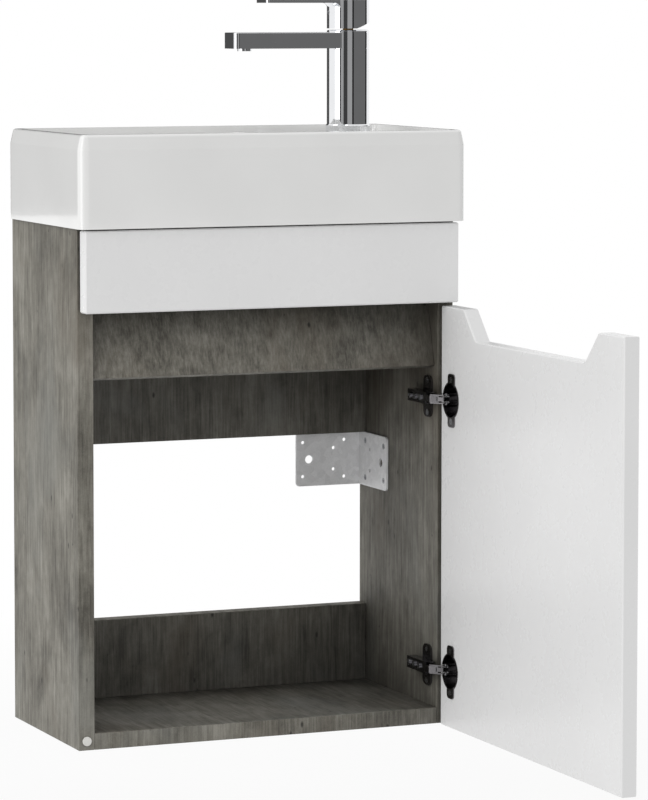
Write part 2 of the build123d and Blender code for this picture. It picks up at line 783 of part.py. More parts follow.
INNER_ARM_PIVOT = arm_pivot(INNER_PIVOT_INWARD, INNER_PIVOT_AHEAD)
OUTER_ARM_PIVOT = arm_pivot(OUTER_PIVOT_INWARD, OUTER_PIVOT_AHEAD)
INNER_CUP_PIVOT = cup_pivot(INNER_ARM_PIVOT, INNER_PIVOT_REACH)
OUTER_CUP_PIVOT = cup_pivot(OUTER_ARM_PIVOT, OUTER_PIVOT_REACH)
INNER_LUG_LEVEL = INNER_LINK_HEIGHT / 2 + LINK_SIDE_CLEARANCE
OUTER_LINK_LEVEL = ARM_TONGUE_HEIGHT / 2 + LINK_SIDE_CLEARANCE
OUTER_LINK_TOP = OUTER_LINK_LEVEL + OUTER_LINK_SHEET
STUD_LUG_LEVEL = OUTER_LINK_TOP + LINK_SIDE_CLEARANCE


def strip(start, end, radius, z0, z1):
    """A flat bar with round ends between two points in plan."""
    length = hypot(end[0] - start[0], end[1] - start[1])
    turn = degrees(atan2(end[1] - start[1], end[0] - start[0]))
    middle = Pos(0, 0, (z0 + z1) / 2)
    bar = Pos(length / 2, 0, 0) * Box(length, 2 * radius, z1 - z0)
    bar = bar + Cylinder(radius, z1 - z0) + Pos(length, 0, 0) * Cylinder(radius, z1 - z0)
    return Pos(start[0], start[1], 0) * Rot(0, 0, turn) * middle * bar


def hinge_arm():
    """The channel over the plate's rail, and the slotted tongue that holds the links."""
    half = ARM_HEIGHT / 2
    web_x0 = SIDE_INNER - ARM_FACE
    web_x1 = web_x0 + ARM_SHEET
    foot_x = SIDE_INNER - ARM_FOOT
    rear_y = CABINET_FRONT + ARM_REAR
    front_y = CABINET_FRONT + ARM_WEB_FRONT
    arm = block(web_x0, web_x1, front_y, rear_y, -half, half)
    arm = arm + block(web_x0, foot_x, front_y, rear_y, half - ARM_SHEET, half)
    arm = arm + block(web_x0, foot_x, front_y, rear_y, -half, ARM_SHEET - half)
    level = ARM_TONGUE_HEIGHT / 2
    root_y = CABINET_FRONT + ARM_TONGUE_REAR
    tongue = block(web_x0, foot_x, front_y - ARM_EYE, root_y, -level, level)
    left_root = (web_x0 + ARM_EYE, front_y - ARM_EYE)
    right_root = (foot_x - ARM_EYE, front_y - ARM_EYE)
    for start, end in ((left_root, OUTER_ARM_PIVOT), (right_root, INNER_ARM_PIVOT),
                       (right_root, OUTER_ARM_PIVOT), (OUTER_ARM_PIVOT, INNER_ARM_PIVOT)):
        tongue = tongue + strip(start, end, ARM_EYE, -level, level)
    arm = arm + tongue
    slot = INNER_LINK_HEIGHT / 2 + LINK_SIDE_CLEARANCE
    x, y = INNER_ARM_PIVOT
    arm = arm - block(x - ARM_SLOT_BACK, x + 2 * ARM_EYE, y - 2 * ARM_EYE, y + ARM_SLOT_REAR,
                      -slot, slot)
    for pivot in (INNER_ARM_PIVOT, OUTER_ARM_PIVOT):
        arm = arm - rod_z(pivot[0], pivot[1], -half, half, PIN_DIAMETER + 2 * JOINERY_CLEARANCE)
    for setback in ADJUSTER_SETBACKS:
        arm = arm - rod_x(web_x0 - OVERRUN, web_x1 + OVERRUN, CABINET_FRONT + setback, 0,
                          ADJUSTER_SHANK + 2 * JOINERY_CLEARANCE)
    return arm


def hinge_adjuster():
    """One adjusting screw of the arm, with a cross slot in its head."""
    web_x0 = SIDE_INNER - ARM_FACE
    top = web_x0 - ADJUSTER_HEAD
    tip = SIDE_INNER - PLATE_SHEET - ADJUSTER_TIP_GAP
    body = rod_x(top, web_x0, 0, 0, ADJUSTER_DIAMETER) + rod_x(web_x0, tip, 0, 0, ADJUSTER_SHANK)
    long = ADJUSTER_DIAMETER / 2 - ADJUSTER_SLOT_MARGIN
    short = ADJUSTER_SLOT_WIDTH / 2
    for dy, dz in ((long, short), (short, long)):
        body = body - block(top, top + ADJUSTER_SLOT_DEPTH, -dy, dy, -dz, dz)
    return body


def hinge_adjusting_screws():
    """Three adjusting screws on each arm."""
    screws = []
    for setback in ADJUSTER_SETBACKS:
        screws += both_hinges(Pos(0, CABINET_FRONT + setback, 0) * hinge_adjuster())
    return Compound(screws)


def hinge_arm_pins():
    """The two pins in each arm that the links turn on."""
    pins = []
    for pivot, reach in ((INNER_ARM_PIVOT, ARM_TONGUE_HEIGHT / 2), (OUTER_ARM_PIVOT, OUTER_LINK_TOP)):
        pins += both_hinges(rod_z(pivot[0], pivot[1], -reach, reach, PIN_DIAMETER))
    return Compound(pins)


def inner_link():
    """The short bowed link between the arm and the cup, which carries the door."""
    half = INNER_LINK_HEIGHT / 2
    radius = INNER_LINK_WIDTH / 2
    x0, y0 = INNER_ARM_PIVOT
    x1, y1 = INNER_CUP_PIVOT
    length = hypot(x1 - x0, y1 - y0)
    across = INNER_LINK_BOW / length
    middle = ((x0 + x1) / 2 + (y1 - y0) * across, (y0 + y1) / 2 - (x1 - x0) * across)
    link = strip(INNER_ARM_PIVOT, middle, radius, -half, half)
    link = link + strip(middle, INNER_CUP_PIVOT, radius, -half, half)
    for pivot in (INNER_ARM_PIVOT, INNER_CUP_PIVOT):
        link = link - rod_z(pivot[0], pivot[1], -half, half, PIN_DIAMETER + 2 * PIN_FIT)
    return link


def outer_link():
    """The pair of long link plates, which end just short of the cup's studs."""
    radius = OUTER_LINK_WIDTH / 2
    away = PIN_DIAMETER / 2 + OUTER_TIP_CLEARANCE + radius
    tip = polar(OUTER_CUP_PIVOT, away, OUTER_TIP_BEARING)
    x, y = OUTER_ARM_PIVOT
    plates = []
    for low, high in ((OUTER_LINK_LEVEL, OUTER_LINK_TOP), (-OUTER_LINK_TOP, -OUTER_LINK_LEVEL)):
        plate = strip(OUTER_ARM_PIVOT, tip, radius, low, high)
        plates.append(plate - rod_z(x, y, low, high, PIN_DIAMETER + 2 * PIN_FIT))
    return Compound(plates)


# Door and what is let into it


def door_face():
    """The x of the open door's inner face."""
    return SIDE_INNER + OPEN_FACE_OFFSET


def door_edge():
    """The y of the open door's hinge edge."""
    return CABINET_FRONT - OPEN_EDGE_AHEAD


def cup_centre_y():
    """The y of the cup's axis in the open door."""
    return door_edge() - CUP_EDGE_DISTANCE - CUP_DIAMETER / 2


def door_panel():
    """The white door, open at a right angle, with the finger notch in its top edge."""
    x0 = door_face()
    x1 = x0 + FRONT_THICKNESS
    top = DOOR_BOTTOM + DOOR_HEIGHT
    y_hinge = door_edge()
    y_free = y_hinge - FRONT_WIDTH
    y_mid = (y_hinge + y_free) / 2
    panel = block(x0, x1, y_free, y_hinge, DOOR_BOTTOM, top)
    half_top = NOTCH_TOP_WIDTH / 2
    half_floor = NOTCH_FLOOR_WIDTH / 2
    outline = [(y_mid - half_top, top), (y_mid - half_floor, top - NOTCH_DEPTH),
               (y_mid + half_floor, top - NOTCH_DEPTH), (y_mid + half_top, top)]
    face = Plane.YZ * make_face(Polyline(*outline, close=True))
    notch = Pos(x0 - OVERRUN, 0, 0) * extrude(face, FRONT_THICKNESS + 2 * OVERRUN)
    panel = panel - notch
    floor_edges = panel.edges().filter_by(Axis.X).filter_by_position(
        Axis.Z, top - NOTCH_DEPTH - OVERRUN, top - NOTCH_DEPTH + OVERRUN)
    panel = fillet(floor_edges, NOTCH_CORNER)
    front_edges = panel.faces().sort_by(Axis.X)[-1].outer_wire().edges()
    back_edges = panel.faces().sort_by(Axis.X)[0].outer_wire().edges()
    panel = chamfer(front_edges + back_edges, FRONT_EDGE_BEVEL)
    for z in (HINGE_LOWER, HINGE_UPPER):
        bore = rod_x(x0 - OVERRUN, x0 + CUP_DEPTH + DOOR_BORE_CLEARANCE, cup_centre_y(), z,
                     CUP_DIAMETER + 2 * DOOR_BORE_CLEARANCE)
        panel = panel - bore
        for place in cup_screw_places(z):
            panel = panel - place * screw_room()
    return panel


def cup_screw_places(z_centre):
    """The two screws beside one cup."""
    x = door_face() - CUP_WING_SHEET
    y = cup_centre_y() - CUP_SCREW_OFFSET
    half = CUP_SCREW_SPACING / 2
    return [pointing_right(x, y, z_centre + side * half) for side in (-1, 1)]


def hinge_cup():
    """The pressed cup with its rim, its two wings and the lugs that hold the pins."""
    x0 = door_face()
    y = cup_centre_y()
    outer = rod_x(x0 - CUP_RIM_SHEET, x0 + CUP_DEPTH, y, 0, CUP_DIAMETER)
    rim = rod_x(x0 - CUP_RIM_SHEET, x0, y, 0, CUP_DIAMETER + 2 * CUP_RIM)
    wing_y = y - CUP_SCREW_OFFSET
    wings = block(x0 - CUP_WING_SHEET, x0, wing_y - CUP_WING_WIDTH / 2, wing_y + CUP_WING_WIDTH / 2,
                  -CUP_WING_LENGTH / 2, CUP_WING_LENGTH / 2)
    wings = fillet(wings.edges().filter_by(Axis.X), CUP_WING_CORNER)
    hollow_diameter = CUP_DIAMETER - 2 * CUP_WALL
    hollow = rod_x(x0 - CUP_WING_SHEET - OVERRUN, x0 + CUP_DEPTH - CUP_WALL, y, 0, hollow_diameter)
    cup = outer + rim + wings - hollow
    notch = OUTER_LINK_TOP + LINK_SIDE_CLEARANCE
    cup = cup - block(x0 - CUP_WING_SHEET - OVERRUN, x0 + CUP_NOTCH_DEPTH, y, y + CUP_DIAMETER, -notch, notch)
    within = rod_x(x0, x0 + CUP_DEPTH, y, 0, CUP_DIAMETER - CUP_WALL)
    for pivot, level in ((INNER_CUP_PIVOT, INNER_LUG_LEVEL), (OUTER_CUP_PIVOT, STUD_LUG_LEVEL)):
        for low, high in ((level, level + CUP_LUG_SHEET), (-level - CUP_LUG_SHEET, -level)):
            lug = strip(pivot, (x0 + CUP_DEPTH, pivot[1]), CUP_LUG_RADIUS, low, high) & within
            lug = lug - rod_z(pivot[0], pivot[1], low, high, PIN_DIAMETER + 2 * JOINERY_CLEARANCE)
            cup = cup + lug
    for place in cup_screw_places(0):
        cup = cup - place * screw_room()
    return cup


def cup_screws():
    """The four screws of the hinge cups."""
    places = cup_screw_places(HINGE_LOWER) + cup_screw_places(HINGE_UPPER)
    return Compound([place * screw() for place in places])


def cup_pins():
    """In each cup one pin for the inner link and two short studs for the outer link."""
    pins = []
    reach = INNER_LUG_LEVEL + CUP_LUG_SHEET
    x, y = INNER_CUP_PIVOT
    pins += both_hinges(rod_z(x, y, -reach, reach, PIN_DIAMETER))
    x, y = OUTER_CUP_PIVOT
    end = STUD_LUG_LEVEL + CUP_LUG_SHEET
    for side in (-1, 1):
        pins += both_hinges(rod_z(x, y, side * OUTER_LINK_LEVEL, side * end, PIN_DIAMETER))
    return Compound(pins)


def door_bumper():
    """The soft pad that the closed door lands on, at the foot of the left panel."""
    x = -(SIDE_INNER + BOARD / 2)
    thickness = FRONT_GAP - BUMPER_CLEARANCE
    pad = rod_y(x, CABINET_FRONT - thickness, CABINET_FRONT, BUMPER_HEIGHT, BUMPER_DIAMETER)
    rim = pad.edges().filter_by(GeomType.CIRCLE).sort_by(Axis.Y)[0]
    return fillet(rim, BUMPER_ROUND)


# Basin


def basin():
    """The ceramic basin: bowl on the left, sunken tap deck on the right."""
    half = BASIN_WIDTH / 2
    base = CABINET_HEIGHT
    top = base + BASIN_HEIGHT
    shell = basin_outside()
    inner_y0 = -BASIN_DEPTH + RIM_WIDTH
    inner_y1 = -RIM_WIDTH
    deck = block(BOWL_LEFT, half - RIM_WIDTH, inner_y0, inner_y1, DECK_TOP, top + OVERRUN)
    deck = fillet(deck.edges().filter_by(Axis.Z), DECK_CORNER)
    shell = shell - deck - bowl_hollow()
    shell = shell - basin_underside()
    shell = shell - rod_z(TAP_X, TAP_Y, base, top, TAP_HOLE)
    shell = shell - rod_z(WASTE_X, WASTE_Y, base, top, WASTE_HOLE)
    return shell


def basin_outside():
    """The basin's outer form: upright sides that curve inward near the rim."""
    base = CABINET_HEIGHT
    shoulder = base + BASIN_HEIGHT - BASIN_DRAW_HEIGHT
    outline = Pos(0, -BASIN_DEPTH / 2, 0) * RectangleRounded(BASIN_WIDTH, BASIN_DEPTH, BASIN_CORNER)
    lower = extrude(Pos(0, 0, base) * outline, BASIN_HEIGHT - BASIN_DRAW_HEIGHT)
    lean = degrees(atan2(BASIN_DRAW_IN, BASIN_DRAW_HEIGHT))
    upper = extrude(Pos(0, 0, shoulder) * outline, BASIN_DRAW_HEIGHT, taper=lean)
    shell = lower + upper
    rim = shell.faces().sort_by(Axis.Z)[-1].outer_wire().edges()
    return fillet(rim, BASIN_TOP_ROUND)


def bowl_hollow():
    """The space of the bowl, wider at its mouth than at its floor."""
    y_mid = -BASIN_DEPTH / 2
    width = BASIN_DEPTH - 2 * RIM_WIDTH
    top = CABINET_HEIGHT + BASIN_HEIGHT
    x_mid = (BOWL_LEFT + BOWL_RIGHT) / 2
    mouth = Pos(x_mid, y_mid, top) * RectangleRounded(BOWL_LENGTH, width, BOWL_CORNER)
    hollow = extrude(mouth, -BOWL_DEPTH, taper=BOWL_TAPER)
    floor = hollow.faces().sort_by(Axis.Z)[0]
    return fillet(floor.outer_wire().edges(), BOWL_FLOOR_ROUND)


def basin_underside():
    """The hollow under the tap deck and the shallow recess under the bowl."""
    half = BASIN_WIDTH / 2
    y0 = -BASIN_DEPTH + SKIRT_WALL
    y1 = -SKIRT_WALL
    base = CABINET_HEIGHT
    deck_under = DECK_TOP - DECK_THICKNESS
    deck_space = block(BOWL_RIGHT + SKIRT_WALL, half - SKIRT_WALL, y0, y1, base - OVERRUN, deck_under)
    deck_space = fillet(deck_space.edges().filter_by(Axis.Z), SKIRT_CORNER)
    bowl_space = block(-half + SKIRT_WALL, BOWL_RIGHT + SKIRT_WALL + OVERRUN, y0, y1,
                       base - OVERRUN, base + UNDER_BOWL_RECESS)
    return deck_space + bowl_space


# Tap


def tap_body():
    """The tap's casting: an upright tube with two turned grooves and the box-section spout."""
    body = rod_z(TAP_X, TAP_Y, TAP_BODY_BASE, TAP_TOP, TAP_DIAMETER)
    top_rim = body.edges().filter_by(GeomType.CIRCLE).sort_by(Axis.Z)[-1]
    body = chamfer(top_rim, TAP_TOP_CHAMFER)
    z1 = TAP_TOP - SPOUT_BELOW_TOP
    z0 = z1 - SPOUT_HEIGHT
    for z in (z0, z1):
        body = body - tap_groove(z)
    body = body + spout(z0, z1)
    body = body - rod_z(TAP_X, TAP_Y, TAP_TOP - CHAMBER_DEPTH, TAP_TOP, CHAMBER_DIAMETER)
    seat_x = TAP_X - AERATOR_REACH
    body = body - rod_x(seat_x, TAP_X - CHAMBER_DIAMETER / 2 + OVERRUN, TAP_Y, (z0 + z1) / 2, WATERWAY)
    body = body - rod_z(seat_x, TAP_Y, z0, z0 + AERATOR_SEAT, AERATOR_DIAMETER + 2 * JOINERY_CLEARANCE)
    body = body - rod_z(TAP_X, TAP_Y + STUD_OFFSET, TAP_BODY_BASE, TAP_BODY_BASE + STUD_IN_TAP,
                        STUD_DIAMETER + 2 * JOINERY_CLEARANCE)
    for side in (-1, 1):
        body = body - rod_z(TAP_X + side * INLET_OFFSET, TAP_Y - INLET_OFFSET / 2, TAP_BODY_BASE,
                            TAP_BODY_BASE + INLET_DEPTH, INLET_DIAMETER)
    return body


def tap_groove(z):
    """The ring that is turned off the tube to leave a fine groove."""
    z0 = z - TAP_GROOVE_WIDTH / 2
    z1 = z + TAP_GROOVE_WIDTH / 2
    ring = rod_z(TAP_X, TAP_Y, z0, z1, TAP_DIAMETER + 2 * OVERRUN)
    return ring - rod_z(TAP_X, TAP_Y, z0, z1, TAP_DIAMETER - 2 * TAP_GROOVE_DEPTH)


def spout(z0, z1):
    """The spout: a crisp box whose two upright corners at the tip are rounded."""
    half = SPOUT_WIDTH / 2
    bar = block(TAP_X - SPOUT_REACH, TAP_X, TAP_Y - half, TAP_Y + half, z0, z1)
    bar = fillet(bar.edges().filter_by(Axis.Z).group_by(Axis.X)[0], SPOUT_TIP_CORNER)
    for face in (bar.faces().sort_by(Axis.Z)[0], bar.faces().sort_by(Axis.Z)[-1]):
        outline = face.outer_wire().edges().sort_by(Axis.X)[:-1]
        bar = fillet(outline, SPOUT_EDGE_ROUND)
    return bar


def tap_base_ring():
    """The trim ring at the foot of the tap."""
    ring = rod_z(TAP_X, TAP_Y, TAP_BASE, TAP_BODY_BASE, TAP_DIAMETER + 2 * TAP_RING_FLARE)
    top = ring.edges().filter_by(GeomType.CIRCLE).sort_by(Axis.Z)[-1]
    ring = chamfer(top, TAP_RING_FLARE)
    return ring - rod_z(TAP_X, TAP_Y, TAP_BASE, TAP_BODY_BASE, TAP_DIAMETER - 2 * TAP_RING_WALL)


def tap_base_gasket():
    """The rubber gasket between the tap and the deck."""
    ring = rod_z(TAP_X, TAP_Y, DECK_TOP, TAP_BASE, TAP_DIAMETER + TAP_RING_FLARE)
    return ring - rod_z(TAP_X, TAP_Y, DECK_TOP, TAP_BASE, TAP_DIAMETER - 2 * TAP_GASKET_WALL)


def tap_aerator():
    """The aerator: a ring with a grille, pressed into the spout from below."""
    z_seat = TAP_TOP - SPOUT_BELOW_TOP - SPOUT_HEIGHT
    z0 = z_seat - AERATOR_DROP
    z1 = z_seat + AERATOR_SEAT - AERATOR_TOP_GAP
    x = TAP_X - AERATOR_REACH
    body = rod_z(x, TAP_Y, z0, z1, AERATOR_DIAMETER)
    body = body - rod_z(x, TAP_Y, z0, z0 + AERATOR_RECESS, AERATOR_DIAMETER - 2 * AERATOR_RIM)
    for row in range(-AERATOR_ROWS, AERATOR_ROWS + 1):
        for column in range(-AERATOR_ROWS, AERATOR_ROWS + 1):
            if hypot(row, column) * AERATOR_PITCH < AERATOR_DIAMETER / 2 - 2 * AERATOR_RIM:
                body = body - rod_z(x + row * AERATOR_PITCH, TAP_Y + column * AERATOR_PITCH, z0, z1,
                                    AERATOR_HOLE)
    return body


def cartridge_housing():
    """The fixed body of the mixing cartridge at the bottom of its chamber."""
    z0 = TAP_TOP - CHAMBER_DEPTH
    z1 = z0 + CARTRIDGE_HEIGHT
    body = rod_z(TAP_X, TAP_Y, z0, z1, CARTRIDGE_DIAMETER)
    well = rod_z(TAP_X, TAP_Y, z1 - TURRET_DEPTH, z1, TURRET_DIAMETER + 2 * TURRET_FIT)
    body = body - well
    for turn in (90, 210, 330):
        px, py = polar((TAP_X, TAP_Y), PORT_CIRCLE / 2, turn)
        body = body - rod_z(px, py, z0, z0 + PORT_DEPTH, PORT_DIAMETER)
    return body


def cartridge_nut():
    """The brass ring that holds the cartridge down."""
    z0 = TAP_TOP - CHAMBER_DEPTH + CARTRIDGE_HEIGHT
    ring = rod_z(TAP_X, TAP_Y, z0, z0 + NUT_HEIGHT, CHAMBER_DIAMETER - 2 * JOINERY_CLEARANCE)
    ring = ring - rod_z(TAP_X, TAP_Y, z0, z0 + NUT_HEIGHT, TURRET_DIAMETER + 2 * NUT_CLEARANCE)
    for turn in range(0, 360, 60):
        px, py = polar((TAP_X, TAP_Y), CHAMBER_DIAMETER / 2, turn)
        ring = ring - rod_z(px, py, z0 + NUT_HEIGHT - NUT_NOTCH_DEPTH, z0 + NUT_HEIGHT, NUT_NOTCH)
    return ring


def cartridge_turret():
    """The turning part of the cartridge, slotted for the spindle."""
    z1 = TAP_TOP - CHAMBER_DEPTH + CARTRIDGE_HEIGHT + NUT_HEIGHT
    z0 = TAP_TOP - CHAMBER_DEPTH + CARTRIDGE_HEIGHT - TURRET_DEPTH
    body = rod_z(TAP_X, TAP_Y, z0, z1, TURRET_DIAMETER)
    half = SPINDLE_SIDE / 2 + SPINDLE_SLOT_CLEARANCE
    tilt = tan(radians(HANDLE_LIFT))
    rise = z1 - TAP_PIVOT
    fall = SPINDLE_TAIL
    level = TURRET_SHOULDER_HEIGHT / 2
    upper = block(TAP_X - half, TAP_X + half / cos(radians(HANDLE_LIFT)) + rise * tilt,
                  TAP_Y - half, TAP_Y + half, TAP_PIVOT, z1 + OVERRUN)
    lower = block(TAP_X - half / cos(radians(HANDLE_LIFT)) - fall * tilt, TAP_X + half,
                  TAP_Y - half, TAP_Y + half, TAP_PIVOT - fall - TURRET_SLOT_SPARE, TAP_PIVOT + level)
    shoulder = block(TAP_X - half - TURRET_SHOULDER, TAP_X + half + TURRET_SHOULDER, TAP_Y - half,
                     TAP_Y + half, TAP_PIVOT - level, TAP_PIVOT + level)
    body = body - upper - lower - shoulder
    reach = TURRET_DIAMETER / 2 - PIN_END_INSET
    return body - rod_y(TAP_X, TAP_Y - reach, TAP_Y + reach, TAP_PIVOT, SPINDLE_PIN + 2 * TIGHT_FIT)


def spindle_pin():
    """The cross pin that the spindle tilts on."""
    reach = TURRET_DIAMETER / 2 - PIN_END_INSET
    return rod_y(TAP_X, TAP_Y - reach, TAP_Y + reach, TAP_PIVOT, SPINDLE_PIN)


def cartridge_spindle():
    """The square spindle that the handle sits on."""
    half = SPINDLE_SIDE / 2
    bar = block(TAP_X - half, TAP_X + half, TAP_Y - half, TAP_Y + half,
                TAP_PIVOT - SPINDLE_TAIL, TAP_TOP + SPINDLE_TOP_ABOVE)
    bar = chamfer(bar.faces().sort_by(Axis.Z)[-1].edges(), SPINDLE_CHAMFER)
    return bar - rod_y(TAP_X, TAP_Y - half, TAP_Y + half, TAP_PIVOT, SPINDLE_PIN + 2 * PIN_FIT)


def tap_handle():
    """The handle: a cap over the cartridge and a flat lever above the spout."""
    z0 = TAP_TOP + HANDLE_GAP
    z1 = z0 + HANDLE_HEIGHT
    radius = TAP_DIAMETER / 2
    lever_z = z1 - LEVER_THICKNESS
    cap = rod_z(TAP_X, TAP_Y, z0, z1, TAP_DIAMETER)
    inside = rod_z(TAP_X, TAP_Y, z0, z1 - HANDLE_TOP, TAP_DIAMETER - 2 * HANDLE_WALL)
    lever = block(TAP_X - LEVER_REACH, TAP_X, TAP_Y - LEVER_WIDTH / 2, TAP_Y + LEVER_WIDTH / 2,
                  lever_z, z1)
    ends = lever.edges().filter_by(Axis.Z).group_by(Axis.X)[0]
    cap = cap + fillet(ends, LEVER_CORNER) + lever_root(lever_z, radius)
    outer_edges = cap.faces().sort_by(Axis.Z)[-1].outer_wire().edges()
    cap = chamfer(outer_edges, HANDLE_EDGE)
    cap = cap - inside - handle_tilt_room()
    hub_top = z1 - HANDLE_TOP + HANDLE_HUB_ROOT
    hub_low = hub_top - HANDLE_HUB_LENGTH
    cap = cap + rod_z(TAP_X, TAP_Y, hub_low, hub_top, HANDLE_HUB)
    half = SPINDLE_SIDE / 2 + HANDLE_SOCKET_CLEARANCE
    socket = block(TAP_X - half, TAP_X + half, TAP_Y - half, TAP_Y + half, hub_low,
                   TAP_TOP + SPINDLE_TOP_ABOVE + HANDLE_SOCKET_SPARE)
    hole = rod_x(TAP_X - radius - OVERRUN, TAP_X - half, TAP_Y, handle_screw_height(),
                 GRUB_DIAMETER + 2 * JOINERY_CLEARANCE)
    return cap - socket - hole


def lever_root(lever_z, radius):
    """The rounded corner that runs round the cap into the underside of the lever."""
    size = LEVER_ROOT
    collar = rod_z(TAP_X, TAP_Y, lever_z - size, lever_z, 2 * (radius + size))
    collar = collar - Pos(TAP_X, TAP_Y, lever_z - size) * Torus(radius + size, size)
    return collar & block(TAP_X - radius - size, TAP_X, TAP_Y - LEVER_WIDTH / 2,
                          TAP_Y + LEVER_WIDTH / 2, lever_z - size, lever_z)


def handle_tilt_room():
    """What the rear of the cap leaves free, so that it passes over the tap when it is lifted."""
    size = TAP_DIAMETER
    below = block(-size, size, -size, size, -size, TAP_TOP - TAP_PIVOT + HANDLE_TILT_CLEARANCE)
    return Pos(TAP_X, TAP_Y, TAP_PIVOT) * Rot(0, -HANDLE_LIFT, 0) * below


def handle_screw_height():
    """The height of the grub screw in the handle's hub."""
    return TAP_TOP + HANDLE_GAP + HANDLE_HEIGHT - HANDLE_TOP - HANDLE_HUB_LENGTH / 2


def handle_grub_screw():
    """The grub screw that clamps the handle on the spindle, from the lever's side."""
    x1 = TAP_X - SPINDLE_SIDE / 2 - HANDLE_SOCKET_CLEARANCE
    x0 = x1 - GRUB_LENGTH
    z = handle_screw_height()
    return rod_x(x0, x1, TAP_Y, z, GRUB_DIAMETER) - rod_x(x0, x0 + GRUB_SOCKET_DEPTH, TAP_Y, z, GRUB_SOCKET)


def handle_index_plug():
    """The small round plug that covers the grub screw's hole."""
    x0 = TAP_X - TAP_DIAMETER / 2 + INDEX_PLUG_RECESS
    return rod_x(x0, x0 + INDEX_PLUG_LENGTH, TAP_Y, handle_screw_height(), GRUB_DIAMETER + JOINERY_CLEARANCE)


def tap_fixing_stud():
    """The threaded stud that pulls the tap down on the deck."""
    z1 = TAP_BODY_BASE + STUD_IN_TAP
    return rod_z(TAP_X, TAP_Y + STUD_OFFSET, z1 - STUD_LENGTH, z1, STUD_DIAMETER)


def tap_fixing_washer():
    """The horseshoe washer under the deck."""
    z1 = DECK_TOP - DECK_THICKNESS
    plate = rod_z(TAP_X, TAP_Y, z1 - HORSESHOE_THICKNESS, z1, HORSESHOE_DIAMETER)
    mouth = block(TAP_X - HORSESHOE_MOUTH / 2, TAP_X + HORSESHOE_MOUTH / 2, TAP_Y - HORSESHOE_DIAMETER,
                  TAP_Y + HORSESHOE_MOUTH_END, z1 - HORSESHOE_THICKNESS, z1)
    hole = rod_z(TAP_X, TAP_Y + STUD_OFFSET, z1 - HORSESHOE_THICKNESS, z1,
                 STUD_DIAMETER + 2 * HORSESHOE_HOLE_CLEARANCE)
    return plate - mouth - hole


def tap_fixing_nut():
    """The long nut that tightens the horseshoe washer."""
    z1 = DECK_TOP - DECK_THICKNESS - HORSESHOE_THICKNESS
    z0 = z1 - STUD_NUT_HEIGHT
    outline = RegularPolygon(STUD_NUT_WIDTH / 2, 6, major_radius=False)
    nut = Pos(TAP_X, TAP_Y + STUD_OFFSET, z0) * extrude(outline, STUD_NUT_HEIGHT)
    return nut - rod_z(TAP_X, TAP_Y + STUD_OFFSET, z0, z1, STUD_DIAMETER + 2 * TIGHT_FIT)


# Waste


def waste_body():
    """The waste: a flange in the bowl and a threaded tail with a guide for the plug."""
    z_seat = BOWL_FLOOR + WASTE_SEAL
    z_top = z_seat + WASTE_FLANGE_THICKNESS
    z_end = z_top - WASTE_LENGTH
    flange = rod_z(WASTE_X, WASTE_Y, z_seat, z_top, WASTE_FLANGE)
    flange = chamfer(flange.edges().filter_by(GeomType.CIRCLE).sort_by(Axis.Z)[-1], WASTE_FLANGE_CHAMFER)
    neck = rod_z(WASTE_X, WASTE_Y, z_end, z_seat, WASTE_NECK)
    thread = rod_z(WASTE_X, WASTE_Y, z_end, z_end + WASTE_THREAD_LENGTH, WASTE_THREAD)
    body = flange + neck + thread - rod_z(WASTE_X, WASTE_Y, z_end, z_top, WASTE_BORE)
    guide_top = z_top - PLUG_GUIDE_DEPTH
    guide_low = guide_top - PLUG_GUIDE_HEIGHT
    ring_diameter = PLUG_STEM + 2 * PLUG_GUIDE_WALL
    guide = rod_z(WASTE_X, WASTE_Y, guide_low, guide_top, ring_diameter)
    reach = (WASTE_BORE + WASTE_THREAD) / 4
    for turn in (0, 60, 120):
        rib = Box(2 * reach, PLUG_GUIDE_RIB, PLUG_GUIDE_HEIGHT)
        guide = guide + Pos(WASTE_X, WASTE_Y, (guide_low + guide_top) / 2) * Rot(0, 0, turn) * rib
    body = body + guide
    return body - rod_z(WASTE_X, WASTE_Y, guide_low, guide_top, PLUG_STEM + 2 * PIN_FIT)


def waste_flange_seal():
    """The rubber seal between the waste's flange and the bowl."""
    z1 = BOWL_FLOOR + WASTE_SEAL
    ring = rod_z(WASTE_X, WASTE_Y, BOWL_FLOOR, z1, WASTE_FLANGE - 2 * WASTE_FLANGE_CHAMFER)
    return ring - rod_z(WASTE_X, WASTE_Y, BOWL_FLOOR, z1, WASTE_NECK + SEAL_FIT)


def waste_back_washer():
    """The rubber washer under the basin."""
    z1 = CABINET_HEIGHT + UNDER_BOWL_RECESS
    ring = rod_z(WASTE_X, WASTE_Y, z1 - WASTE_WASHER, z1, WASTE_WASHER_DIAMETER)
    return ring - rod_z(WASTE_X, WASTE_Y, z1 - WASTE_WASHER, z1, WASTE_NECK + SEAL_FIT)


def waste_back_nut():
    """The flanged nut that clamps the waste in the basin."""
    z1 = CABINET_HEIGHT + UNDER_BOWL_RECESS - WASTE_WASHER
    z0 = z1 - WASTE_NUT_HEIGHT
    nut = rod_z(WASTE_X, WASTE_Y, z0, z1, WASTE_NUT_DIAMETER)
    for turn in range(WASTE_NUT_SCALLOPS):
        px, py = polar((WASTE_X, WASTE_Y), WASTE_NUT_DIAMETER / 2, turn * 360 / WASTE_NUT_SCALLOPS)
        nut = nut - rod_z(px, py, z0, z1 - WASTE_NUT_FLANGE, WASTE_NUT_SCALLOP)
    return nut - rod_z(WASTE_X, WASTE_Y, z0, z1, WASTE_NECK + 2 * JOINERY_CLEARANCE)


